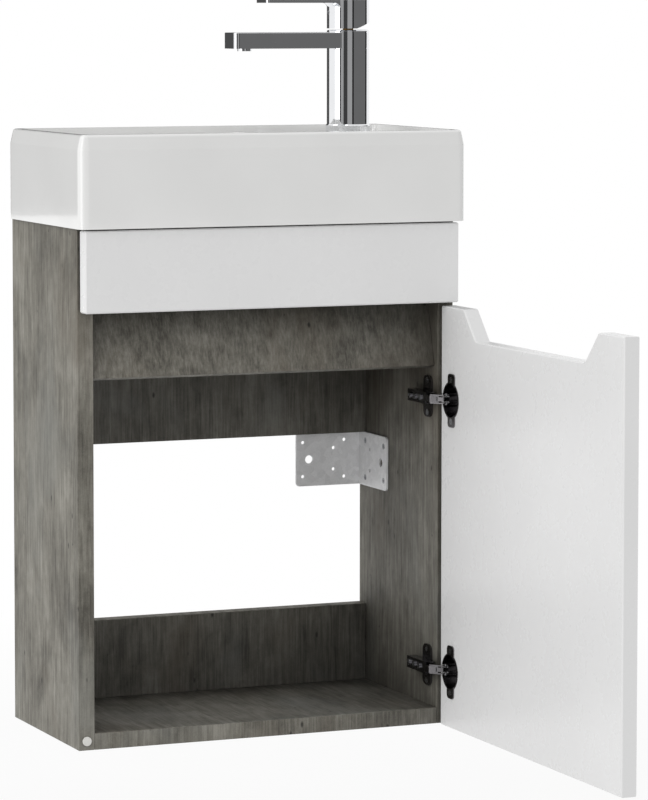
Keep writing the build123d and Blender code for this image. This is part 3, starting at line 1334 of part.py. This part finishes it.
def waste_plug():
    """The domed plug with its stem, closed, in the guide of the waste."""
    z_flange = BOWL_FLOOR + WASTE_SEAL + WASTE_FLANGE_THICKNESS
    z0 = z_flange + PLUG_GAP
    z1 = z0 + PLUG_THICKNESS
    head = rod_z(WASTE_X, WASTE_Y, z0, z1, PLUG_DIAMETER)
    head = fillet(head.edges().filter_by(GeomType.CIRCLE).sort_by(Axis.Z)[-1], PLUG_ROUND)
    guide_low = z_flange - PLUG_GUIDE_DEPTH - PLUG_GUIDE_HEIGHT
    stem_end = guide_low - PLUG_STEM_PAST_GUIDE
    stem = rod_z(WASTE_X, WASTE_Y, stem_end, z0, PLUG_STEM)
    return head + stem


def plug_retaining_clip():
    """The clip on the stem that stops the plug when it is lifted."""
    z_flange = BOWL_FLOOR + WASTE_SEAL + WASTE_FLANGE_THICKNESS
    guide_low = z_flange - PLUG_GUIDE_DEPTH - PLUG_GUIDE_HEIGHT
    z1 = guide_low - PLUG_TRAVEL - PLUG_CLIP_CLEARANCE
    ring = rod_z(WASTE_X, WASTE_Y, z1 - PLUG_CLIP_HEIGHT, z1, PLUG_CLIP)
    return ring - rod_z(WASTE_X, WASTE_Y, z1 - PLUG_CLIP_HEIGHT, z1, PLUG_STEM + 2 * TIGHT_FIT)


def plug_seal():
    """The rubber seal under the plug's head."""
    z_flange = BOWL_FLOOR + WASTE_SEAL + WASTE_FLANGE_THICKNESS
    z1 = z_flange + PLUG_GAP
    ring = rod_z(WASTE_X, WASTE_Y, z_flange + PLUG_SEAL_CLEARANCE, z1, WASTE_BORE + 2 * PLUG_SEAL_OUTWARD)
    return ring - rod_z(WASTE_X, WASTE_Y, z_flange, z1, WASTE_BORE - 2 * PLUG_SEAL_INWARD)


def all_parts():
    """Every node's name and solid, in the cabinet's own place."""
    parts = {
        "side_panel_left": side_panel_left(),
        "side_panel_right": side_panel_right(),
        "bottom_panel": bottom_panel(),
        "lower_back_rail": lower_back_rail(),
        "upper_back_rail": upper_back_rail(),
        "apron_panel": apron_panel(),
        "panel_dowels": panel_dowels(),
        "cam_locks": cam_locks(),
        "cam_bolts": cam_bolts(),
        "front_panel": front_panel(),
        "front_fixing_brackets": front_fixing_brackets(),
        "front_fixing_screws": front_fixing_screws(),
        "wall_bracket_left": wall_bracket_left(),
        "wall_bracket_right": wall_bracket_right(),
        "bracket_screws": bracket_screws(),
        "plate_screws": plate_screws(),
        "hinge_adjusting_screws": hinge_adjusting_screws(),
        "hinge_arm_pins": hinge_arm_pins(),
        "door_bumper": door_bumper(),
        "door_panel": door_panel(),
        "cup_screws": cup_screws(),
        "cup_pins": cup_pins(),
        "basin": basin(),
        "tap_body": tap_body(),
        "tap_base_ring": tap_base_ring(),
        "tap_base_gasket": tap_base_gasket(),
        "tap_aerator": tap_aerator(),
        "cartridge_housing": cartridge_housing(),
        "cartridge_nut": cartridge_nut(),
        "cartridge_turret": cartridge_turret(),
        "spindle_pin": spindle_pin(),
        "cartridge_spindle": cartridge_spindle(),
        "tap_handle": tap_handle(),
        "handle_grub_screw": handle_grub_screw(),
        "handle_index_plug": handle_index_plug(),
        "tap_fixing_stud": tap_fixing_stud(),
        "tap_fixing_washer": tap_fixing_washer(),
        "tap_fixing_nut": tap_fixing_nut(),
        "waste_body": waste_body(),
        "waste_flange_seal": waste_flange_seal(),
        "waste_back_washer": waste_back_washer(),
        "waste_back_nut": waste_back_nut(),
        "waste_plug": waste_plug(),
        "plug_retaining_clip": plug_retaining_clip(),
        "plug_seal": plug_seal(),
    }
    pairs = {
        "hinge_plate": hinge_plate,
        "hinge_arm": hinge_arm,
        "inner_link": inner_link,
        "outer_link": outer_link,
        "hinge_cup": hinge_cup,
    }
    for name, function in pairs.items():
        lower, upper = both_hinges(function())
        parts[name + "_lower"] = lower
        parts[name + "_upper"] = upper
    return parts


def main():
    """Write one file for each node, with the origin midway between the wall bolts."""
    os.makedirs("parts", exist_ok=True)
    shift = Pos(0, 0, -WALL_BRACKET_CENTRE)
    for name, shape in all_parts().items():
        export_step(shift * shape, os.path.join("parts", name + ".step"))


main()
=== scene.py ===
import bpy
import json
from math import cos, radians, sin
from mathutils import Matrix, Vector


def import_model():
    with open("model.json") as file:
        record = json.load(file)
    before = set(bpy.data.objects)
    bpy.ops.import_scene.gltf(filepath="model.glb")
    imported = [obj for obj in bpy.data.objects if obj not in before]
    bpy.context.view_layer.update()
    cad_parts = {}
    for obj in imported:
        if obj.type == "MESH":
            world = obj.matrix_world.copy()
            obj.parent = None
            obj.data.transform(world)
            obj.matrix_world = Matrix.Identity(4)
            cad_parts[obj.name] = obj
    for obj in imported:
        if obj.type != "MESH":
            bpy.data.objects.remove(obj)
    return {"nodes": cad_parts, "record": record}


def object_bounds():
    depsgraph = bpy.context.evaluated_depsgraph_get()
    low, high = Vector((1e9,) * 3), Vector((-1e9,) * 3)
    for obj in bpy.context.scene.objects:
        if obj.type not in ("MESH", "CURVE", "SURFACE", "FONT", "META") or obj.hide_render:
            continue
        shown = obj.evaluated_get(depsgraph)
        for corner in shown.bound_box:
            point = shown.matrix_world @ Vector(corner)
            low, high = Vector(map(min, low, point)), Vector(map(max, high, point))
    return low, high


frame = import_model()
cad_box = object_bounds()

# Everything is in metres in the model's frame: X to the right, the wall at y = 0,
# the front facing -Y, Z up, and the origin midway between the two wall bolts.

# Camera, solved from the edges of the carcass, door, basin and tap
CAMERA_PLACE = (-1.4168, -3.6582, 0.4703)
CAMERA_YAW = 22.553
CAMERA_DIP = 4.471
CAMERA_LENS = 174.905
CAMERA_SHIFT_X = 0.042
CAMERA_SHIFT_Y = -0.12
CAMERA_FAR = 100.0

# Studio: the floor, the world's soft light, and lamps as (name, place, size, power)
FLOOR_DROP = 0.16
FLOOR_SIZE = 300.0
FLOOR_DARK = (244, 244, 244)
FLOOR_LIGHT = (248, 248, 248)
FLOOR_ROUGHNESS = 0.9
FLOOR_SHADOW_REACH = (0.9, 1.6)
FLOOR_SHADOW_SHARE = 0.8
AMBIENT_LEVEL = 0.78
LAMPS = (
    ("left", (-3.4, -0.9, 1.0), 2.6, 36.0),
    ("top", (-0.6, 0.7, 3.2), 2.4, 14.0),
)

# Cards round the unit that only reflections show, as (name, first and last bearing
# from the front, in degrees to the right, and brightness)
CARD_DISTANCE = 2.2
CARD_FOOT = 0.14
CARD_HEAD = 1.5
CARD_STEP = 4
CARDS = (
    ("card_behind_left", -214, -148, 0.08),
    ("card_line_left", -66, -59, 0.01),
    ("card_left", -59, -43, 0.36),
    ("card_middle_left", -43, -22, 0.05),
    ("card_middle", -22, 3, 0.36),
    ("card_line_middle", 3, 11, 0.01),
    ("card_right", 11, 84, 0.145),
    ("card_line_right", 84, 97, 0.01),
)

# Screen colours of the finishes, 0 to 255
CONCRETE_DARK = (80, 77, 70)
CONCRETE_MID = (116, 113, 104)
CONCRETE_LIGHT = (145, 142, 133)
CONCRETE_STAIN = (96, 87, 74)
CONCRETE_BLOOM = (138, 139, 134)
CONCRETE_PIT = (48, 45, 41)
GLOSS_WHITE = (233, 233, 233)
GLOSS_WHITE_DEEP = (230, 230, 230)
GLAZE_WHITE = (237, 237, 236)
GLAZE_WHITE_DEEP = (233, 233, 232)
GLAZE_SPECK = (196, 194, 188)
ZINC_DARK = (226, 226, 227)
ZINC_LIGHT = (246, 246, 247)
BEECH_DARK = (172, 128, 88)
BEECH_LIGHT = (218, 178, 134)

# Half the difference between a plain finish's darkest and lightest screen colour
METAL_SHADE = 11
CHROME_SHADE = 2
PLASTIC_SHADE = 8

# Painted shade in the carcass's corners: how far off a board counts as near, and the colour's share
# there
PAINTED_SHADE_REACH = 0.30
PAINTED_SHADE_SHARE = 0.24
PAINTED_SHADE_SAMPLES = 6

# Sockets of a Mix node, which share their names, as (first, second, result)
MIX_VECTOR_SOCKETS = (4, 5, 1)
MIX_COLOUR_SOCKETS = (6, 7, 2)


def linear(screen):
    """A linear colour with alpha from three screen values between 0 and 255."""
    shares = [value / 255 for value in screen]
    curved = [s / 12.92 if s < 0.04045 else ((s + 0.055) / 1.055) ** 2.4 for s in shares]
    return (*curved, 1.0)


def shaded(screen, step):
    """A screen colour made lighter or darker by a step on every channel."""
    return tuple(min(255, max(0, value + step)) for value in screen)


class Finish:
    """One material's node tree, with short ways to add to it."""

    def __init__(self, name):
        self.material = bpy.data.materials.new(name)
        self.material.use_nodes = True
        self.tree = self.material.node_tree
        self.tree.nodes.clear()
        self.shader = self.tree.nodes.new("ShaderNodeBsdfPrincipled")
        self.output = self.tree.nodes.new("ShaderNodeOutputMaterial")
        self.show(self.shader.outputs[0])
        self.coordinates = self.tree.nodes.new("ShaderNodeTexCoord")
        self.place = self.coordinates.outputs["Object"]

    def show(self, shader):
        """The shader that the surface shows."""
        self.tree.links.new(shader, self.output.inputs[0])

    def set(self, **values):
        """Constants on the shader, with underscores for the spaces in a socket's name."""
        for name, value in values.items():
            self.shader.inputs[name.replace("_", " ")].default_value = value

    def feed(self, socket, source):
        """A node's output into one of the shader's inputs."""
        self.tree.links.new(source, self.shader.inputs[socket])

    def stretched(self, x, y, z, source=None):
        """The place on the piece, scaled along each axis."""
        mapping = self.tree.nodes.new("ShaderNodeMapping")
        mapping.inputs["Scale"].default_value = (x, y, z)
        self.tree.links.new(source or self.place, mapping.inputs["Vector"])
        return mapping.outputs[0]

    def noise(self, scale, detail, roughness=0.5, source=None, distortion=0.0):
        """Cloudy values about a half, with features 1 / scale metres wide."""
        node = self.tree.nodes.new("ShaderNodeTexNoise")
        node.inputs["Scale"].default_value = scale
        node.inputs["Detail"].default_value = detail
        node.inputs["Roughness"].default_value = roughness
        node.inputs["Distortion"].default_value = distortion
        self.tree.links.new(source or self.place, node.inputs["Vector"])
        return node.outputs["Fac"]

    def cells(self, scale, output="Distance", source=None):
        """Values of a pattern of cells 1 / scale metres wide."""
        node = self.tree.nodes.new("ShaderNodeTexVoronoi")
        node.inputs["Scale"].default_value = scale
        self.tree.links.new(source or self.place, node.inputs["Vector"])
        return node.outputs[output]

    def math(self, operation, a, b=None):
        """Arithmetic on two values, each a number or a node's output."""
        node = self.tree.nodes.new("ShaderNodeMath")
        node.operation = operation
        for socket, value in zip(node.inputs, (a, b)):
            if isinstance(value, (int, float)):
                socket.default_value = value
            elif value is not None:
                self.tree.links.new(value, socket)
        return node.outputs[0]

    def total(self, *weighted):
        """The sum of node outputs, each given as a pair of the output and its weight."""
        whole = None
        for source, weight in weighted:
            share = self.math("MULTIPLY", source, weight)
            whole = share if whole is None else self.math("ADD", whole, share)
        return whole

    def span(self, source, low, high, to_low=0.0, to_high=1.0):
        """A value taken from one range to another and held inside it."""
        node = self.tree.nodes.new("ShaderNodeMapRange")
        node.inputs["From Min"].default_value = low
        node.inputs["From Max"].default_value = high
        node.inputs["To Min"].default_value = to_low
        node.inputs["To Max"].default_value = to_high
        self.tree.links.new(source, node.inputs["Value"])
        return node.outputs[0]

    def ramp(self, source, stops):
        """Colours along a value; each stop is a place and a screen colour."""
        node = self.tree.nodes.new("ShaderNodeValToRGB")
        while len(node.color_ramp.elements) < len(stops):
            node.color_ramp.elements.new(1.0)
        for element, (place, screen) in zip(node.color_ramp.elements, stops):
            element.position = place
            element.color = linear(screen)
        self.tree.links.new(source, node.inputs[0])
        return node.outputs[0]

    def mix(self, kind, sockets, share, a, b):
        """Value a turned into value b by a share, for vectors or colours."""
        node = self.tree.nodes.new("ShaderNodeMix")
        node.data_type = kind
        first, second, result = sockets
        self.tree.links.new(share, node.inputs[0])
        self.tree.links.new(a, node.inputs[first])
        if isinstance(b, tuple):
            node.inputs[second].default_value = linear(b)
        else:
            self.tree.links.new(b, node.inputs[second])
        return node.outputs[result]

    def tinted(self, share, colour, screen):
        """A colour turned into a screen colour by a share."""
        return self.mix("RGBA", MIX_COLOUR_SOCKETS, share, colour, screen)

    def darkened_by_painted_shade(self, colour, reach, least):
        """A colour darkened with painted shade, down to a share of itself, where pieces close in on
        it.
        """
        near = self.tree.nodes.new("ShaderNodeAmbientOcclusion")
        near.samples = PAINTED_SHADE_SAMPLES
        near.inputs["Distance"].default_value = reach
        share = self.span(near.outputs["AO"], 0.15, 0.85, least, 1.0)
        node = self.tree.nodes.new("ShaderNodeVectorMath")
        node.operation = "SCALE"
        self.tree.links.new(colour, node.inputs[0])
        self.tree.links.new(share, node.inputs["Scale"])
        return node.outputs[0]

    def blended(self, share, a, b):
        """Shader a turned into shader b by a share."""
        node = self.tree.nodes.new("ShaderNodeMixShader")
        self.tree.links.new(share, node.inputs[0])
        self.tree.links.new(a, node.inputs[1])
        self.tree.links.new(b, node.inputs[2])
        return node.outputs[0]

    def relief(self, height, depth):
        """Bump of a depth in metres, from a height between 0 and 1."""
        node = self.tree.nodes.new("ShaderNodeBump")
        node.inputs["Strength"].default_value = 1.0
        node.inputs["Distance"].default_value = depth
        self.tree.links.new(height, node.inputs["Height"])
        self.feed("Normal", node.outputs[0])


def grain_place(finish):
    """The place with the grain along Z: as it is on upright faces, turned on level ones."""
    tree = finish.tree
    turned = tree.nodes.new("ShaderNodeMapping")
    turned.inputs["Rotation"].default_value = (radians(90), 0, 0)
    tree.links.new(finish.place, turned.inputs["Vector"])
    normal = tree.nodes.new("ShaderNodeSeparateXYZ")
    tree.links.new(finish.coordinates.outputs["Normal"], normal.inputs[0])
    level = finish.math("GREATER_THAN", finish.math("ABSOLUTE", normal.outputs["Z"]), 0.7)
    return finish.mix("VECTOR", MIX_VECTOR_SOCKETS, level, finish.place, turned.outputs[0])


def concrete_laminate():
    """Concrete-look board: streaks along the grain, clouds, stains and small dark pits, with
    painted shade where the boards close in on each other.
    """
    finish = Finish("concrete_laminate")
    grain = grain_place(finish)
    long_grain = finish.stretched(1, 1, 0.7, grain)
    fine = finish.noise(620, 2, 0.5, finish.stretched(1, 1, 0.04, grain))
    streaks = finish.noise(210, 3, 0.6, finish.stretched(1, 1, 0.07, grain), distortion=0.15)
    mottle = finish.noise(120, 5, 0.65, finish.stretched(1, 1, 0.6, grain), distortion=0.3)
    clouds = finish.noise(17, 6, 0.55, long_grain, distortion=0.5)
    dust = finish.noise(1300, 2, 0.6, grain)
    tone = finish.total((fine, 0.20), (streaks, 0.22), (mottle, 0.16), (clouds, 0.32), (dust, 0.10))
    stops = [(0.40, CONCRETE_DARK), (0.50, CONCRETE_MID), (0.60, CONCRETE_LIGHT)]
    colour = finish.ramp(tone, stops)

    drift = finish.noise(7, 4, 0.6, long_grain, distortion=0.5)
    stain = finish.span(drift, 0.53, 0.70, 0.0, 0.55)
    bloom = finish.span(drift, 0.30, 0.45, 0.45, 0.0)
    colour = finish.tinted(stain, colour, CONCRETE_STAIN)
    colour = finish.tinted(bloom, colour, CONCRETE_BLOOM)

    spots = finish.cells(82, source=finish.stretched(1, 1, 0.5, grain))
    gate = finish.span(finish.noise(38, 2, 0.5, grain), 0.575, 0.60)
    pits = finish.math("MULTIPLY", finish.span(spots, 0.07, 0.16, 1.0, 0.0), gate)
    colour = finish.tinted(finish.math("MULTIPLY", pits, 0.9), colour, CONCRETE_PIT)
    # The colour gets painted shade, darker where the boards close in on each other.
    finish.feed("Base Color", finish.darkened_by_painted_shade(colour, PAINTED_SHADE_REACH, PAINTED_SHADE_SHARE))
    finish.feed("Roughness", finish.span(tone, 0.3, 0.7, 0.66, 0.5))
    finish.relief(finish.math("SUBTRACT", tone, finish.math("MULTIPLY", pits, 0.5)), 0.0002)
    finish.set(Specular_IOR_Level=0.35)
    return finish.material


def white_gloss_front():
    """White lacquer with a faint orange peel and hardly any tint."""
    finish = Finish("white_gloss_front")
    drift = finish.noise(6, 2)
    haze = finish.noise(40, 4, 0.6)
    finish.feed("Base Color", finish.ramp(drift, [(0.3, GLOSS_WHITE_DEEP), (0.7, GLOSS_WHITE)]))
    finish.feed("Roughness", finish.span(haze, 0.3, 0.7, 0.24, 0.32))
    finish.relief(finish.noise(420, 2), 0.000006)
    finish.set(IOR=1.45, Specular_IOR_Level=0.3)
    return finish.material


def glazed_ceramic():
    """White glaze, a touch uneven in depth, over a fired body."""
    finish = Finish("glazed_ceramic")
    pool = finish.noise(10, 3)
    haze = finish.noise(30, 4, 0.6)
    specks = finish.span(finish.cells(260), 0.03, 0.07, 0.12, 0.0)
    colour = finish.ramp(pool, [(0.3, GLAZE_WHITE_DEEP), (0.7, GLAZE_WHITE)])
    finish.feed("Base Color", finish.tinted(specks, colour, GLAZE_SPECK))
    finish.feed("Roughness", finish.span(haze, 0.3, 0.7, 0.05, 0.12))
    finish.relief(finish.noise(70, 3), 0.00004)
    finish.set(IOR=1.52, Coat_Weight=0.6, Coat_Roughness=0.03)
    return finish.material


def plated(name, screen, rough, smudge, shade=METAL_SHADE):
    """Plated or bare metal, a little uneven in colour, with smudges."""
    finish = Finish(name)
    haze = finish.noise(55, 5, 0.65)
    stops = [(0.3, shaded(screen, -shade)), (0.7, shaded(screen, shade))]
    finish.feed("Base Color", finish.ramp(haze, stops))
    finish.feed("Roughness", finish.span(haze, 0.3, 0.75, rough, rough + smudge))
    finish.relief(finish.noise(160, 2), 0.000003)
    finish.set(Metallic=1.0)
    return finish.material


def galvanised_steel():
    """Zinc-plated sheet: a pale satin coat with faint spangle."""
    finish = Finish("galvanised_steel")
    split = finish.tree.nodes.new("ShaderNodeSeparateColor")
    finish.tree.links.new(finish.cells(170, output="Color"), split.inputs[0])
    shade = finish.total((split.outputs[0], 0.4), (finish.noise(700, 3, 0.6), 0.6))
    finish.feed("Base Color", finish.ramp(shade, [(0.2, ZINC_DARK), (0.8, ZINC_LIGHT)]))
    finish.feed("Roughness", finish.span(shade, 0.2, 0.8, 0.30, 0.46))
    finish.relief(shade, 0.00002)
    finish.set(Metallic=0.1)
    return finish.material


def beech_dowel():
    """Raw beech: fine fibres along the dowel with short rays."""
    finish = Finish("beech_dowel")
    fibres = finish.noise(1600, 4, 0.6, finish.stretched(0.05, 1, 1))
    rays = finish.noise(700, 2, 0.5, finish.stretched(0.3, 1, 1))
    shade = finish.total((fibres, 0.6), (rays, 0.4))
    finish.feed("Base Color", finish.ramp(shade, [(0.3, BEECH_DARK), (0.7, BEECH_LIGHT)]))
    finish.feed("Roughness", finish.span(shade, 0.3, 0.7, 0.75, 0.6))
    finish.relief(shade, 0.0001)
    return finish.material


def moulded(name, screen, rough, grain):
    """Moulded plastic or rubber with a fine texture."""
    finish = Finish(name)
    texture = finish.noise(1400, 3, 0.6)
    stops = [(0.3, shaded(screen, -PLASTIC_SHADE)), (0.7, shaded(screen, PLASTIC_SHADE))]
    finish.feed("Base Color", finish.ramp(finish.noise(90, 4, 0.6), stops))
    finish.feed("Roughness", finish.span(texture, 0.3, 0.7, rough, rough + 0.12))
    finish.relief(texture, grain)
    return finish.material


def dress_nodes():
    """The finish of each CAD node, by the material slot that the record gives it."""
    finishes = {
        "concrete_laminate": concrete_laminate(),
        "white_gloss_front": white_gloss_front(),
        "glazed_ceramic": glazed_ceramic(),
        "tap_chrome": plated("tap_chrome", (236, 237, 239), 0.02, 0.02, CHROME_SHADE),
        "galvanised_steel": galvanised_steel(),
        "hinge_nickel": plated("hinge_nickel", (112, 110, 112), 0.16, 0.16),
        "steel_fastener": plated("steel_fastener", (176, 177, 180), 0.22, 0.16),
        "cam_zinc": plated("cam_zinc", (170, 171, 174), 0.38, 0.2),
        "beech_dowel": beech_dowel(),
        "bumper_plastic": moulded("bumper_plastic", (222, 221, 216), 0.35, 0.00001),
        "seal_rubber": moulded("seal_rubber", (34, 34, 35), 0.6, 0.00002),
        "cartridge_plastic": moulded("cartridge_plastic", (60, 61, 64), 0.42, 0.00001),
        "brass": plated("brass", (206, 168, 98), 0.2, 0.14),
    }
    for part in frame["record"]["subparts"]:
        mesh = frame["nodes"][part["node"]].data
        mesh.materials.clear()
        mesh.materials.append(finishes[part["material_slot"]])


def stage_piece(name, corners, faces, material):
    """A mesh that is part of the studio and not of the object."""
    mesh = bpy.data.meshes.new(name)
    mesh.from_pydata(corners, [], faces)
    mesh.materials.append(material)
    piece = bpy.data.objects.new(name, mesh)
    bpy.context.scene.collection.objects.link(piece)
    return piece


def seen_directly(tree):
    """One where the camera, a reflection or a refraction looks, and zero for other light."""
    path = tree.nodes.new("ShaderNodeLightPath")
    seen = path.outputs["Is Camera Ray"]
    for name in ("Is Glossy Ray", "Is Transmission Ray"):
        both = tree.nodes.new("ShaderNodeMath")
        both.operation = "MAXIMUM"
        tree.links.new(seen, both.inputs[0])
        tree.links.new(path.outputs[name], both.inputs[1])
        seen = both.outputs[0]
    return seen


def floor():
    """A pale floor below the hanging unit: white, with the unit's shadow close to it."""
    finish = Finish("floor")
    tree = finish.tree
    pale = finish.ramp(finish.noise(3, 3), [(0.3, FLOOR_DARK), (0.7, FLOOR_LIGHT)])
    finish.feed("Base Color", pale)
    finish.set(Roughness=FLOOR_ROUGHNESS, Specular_IOR_Level=0.0)
    distance = tree.nodes.new("ShaderNodeVectorMath")
    distance.operation = "LENGTH"
    tree.links.new(finish.place, distance.inputs[0])
    near, far = FLOOR_SHADOW_REACH
    share = finish.span(distance.outputs["Value"], near, far, FLOOR_SHADOW_SHARE, 1.0)
    white = tree.nodes.new("ShaderNodeEmission")
    clear = tree.nodes.new("ShaderNodeBsdfTransparent")
    lit = finish.blended(share, finish.shader.outputs[0], white.outputs[0])
    finish.show(finish.blended(seen_directly(tree), clear.outputs[0], lit))
    half = FLOOR_SIZE / 2
    corners = [(-half, -half, 0), (half, -half, 0), (half, half, 0), (-half, half, 0)]
    piece = stage_piece("floor", corners, [(0, 1, 2, 3)], finish.material)
    piece.location = (0, 0, cad_box[0].z - FLOOR_DROP)


def card(name, first, last, level):
    """A tall curved card between two bearings, seen in reflections alone."""
    material = bpy.data.materials.new(name)
    material.use_nodes = True
    tree = material.node_tree
    tree.nodes.clear()
    glow = tree.nodes.new("ShaderNodeEmission")
    glow.inputs["Color"].default_value = (level, level, level, 1)
    output = tree.nodes.new("ShaderNodeOutputMaterial")
    tree.links.new(glow.outputs[0], output.inputs[0])
    steps = max(1, round((last - first) / CARD_STEP))
    corners = []
    for step in range(steps + 1):
        bearing = radians(first + (last - first) * step / steps)
        x = CARD_DISTANCE * sin(bearing)
        y = -CARD_DISTANCE * cos(bearing)
        corners += [(x, y, CARD_FOOT), (x, y, CARD_HEAD)]
    faces = [(2 * i, 2 * i + 2, 2 * i + 3, 2 * i + 1) for i in range(steps)]
    piece = stage_piece(name, corners, faces, material)
    piece.visible_camera = False
    piece.visible_diffuse = False
    piece.visible_shadow = False
    piece.visible_transmission = False


def area_light(name, place, size, power):
    """A soft square lamp aimed at the middle of the unit."""
    data = bpy.data.lights.new(name, "AREA")
    data.size = size
    data.energy = power
    lamp = bpy.data.objects.new(name, data)
    bpy.context.scene.collection.objects.link(lamp)
    lamp.location = place
    direction = (cad_box[0] + cad_box[1]) / 2 - Vector(place)
    lamp.rotation_euler = direction.to_track_quat("-Z", "Y").to_euler()


def world():
    """White where it is seen directly or in a reflection, and a level soft light otherwise."""
    space = bpy.data.worlds.new("studio")
    bpy.context.scene.world = space
    space.use_nodes = True
    tree = space.node_tree
    background = tree.nodes["Background"]
    background.inputs["Color"].default_value = (1, 1, 1, 1)
    level = tree.nodes.new("ShaderNodeMapRange")
    level.inputs["To Min"].default_value = AMBIENT_LEVEL
    level.inputs["To Max"].default_value = 1.0
    tree.links.new(seen_directly(tree), level.inputs["Value"])
    tree.links.new(level.outputs[0], background.inputs["Strength"])


def camera():
    """The photograph's viewpoint."""
    data = bpy.data.cameras.new("camera")
    data.lens = CAMERA_LENS
    data.shift_x = CAMERA_SHIFT_X
    data.shift_y = CAMERA_SHIFT_Y
    data.clip_end = CAMERA_FAR
    eye = bpy.data.objects.new("camera", data)
    eye.location = CAMERA_PLACE
    eye.rotation_euler = (radians(90 - CAMERA_DIP), 0, radians(-CAMERA_YAW))
    bpy.context.scene.collection.objects.link(eye)
    bpy.context.scene.camera = eye


dress_nodes()
floor()
world()
for lamp_name, place, size, power in LAMPS:
    area_light(lamp_name, place, size, power)
for card_name, first, last, level in CARDS:
    card(card_name, first, last, level)
camera()
bpy.context.scene.view_settings.view_transform = "Standard"
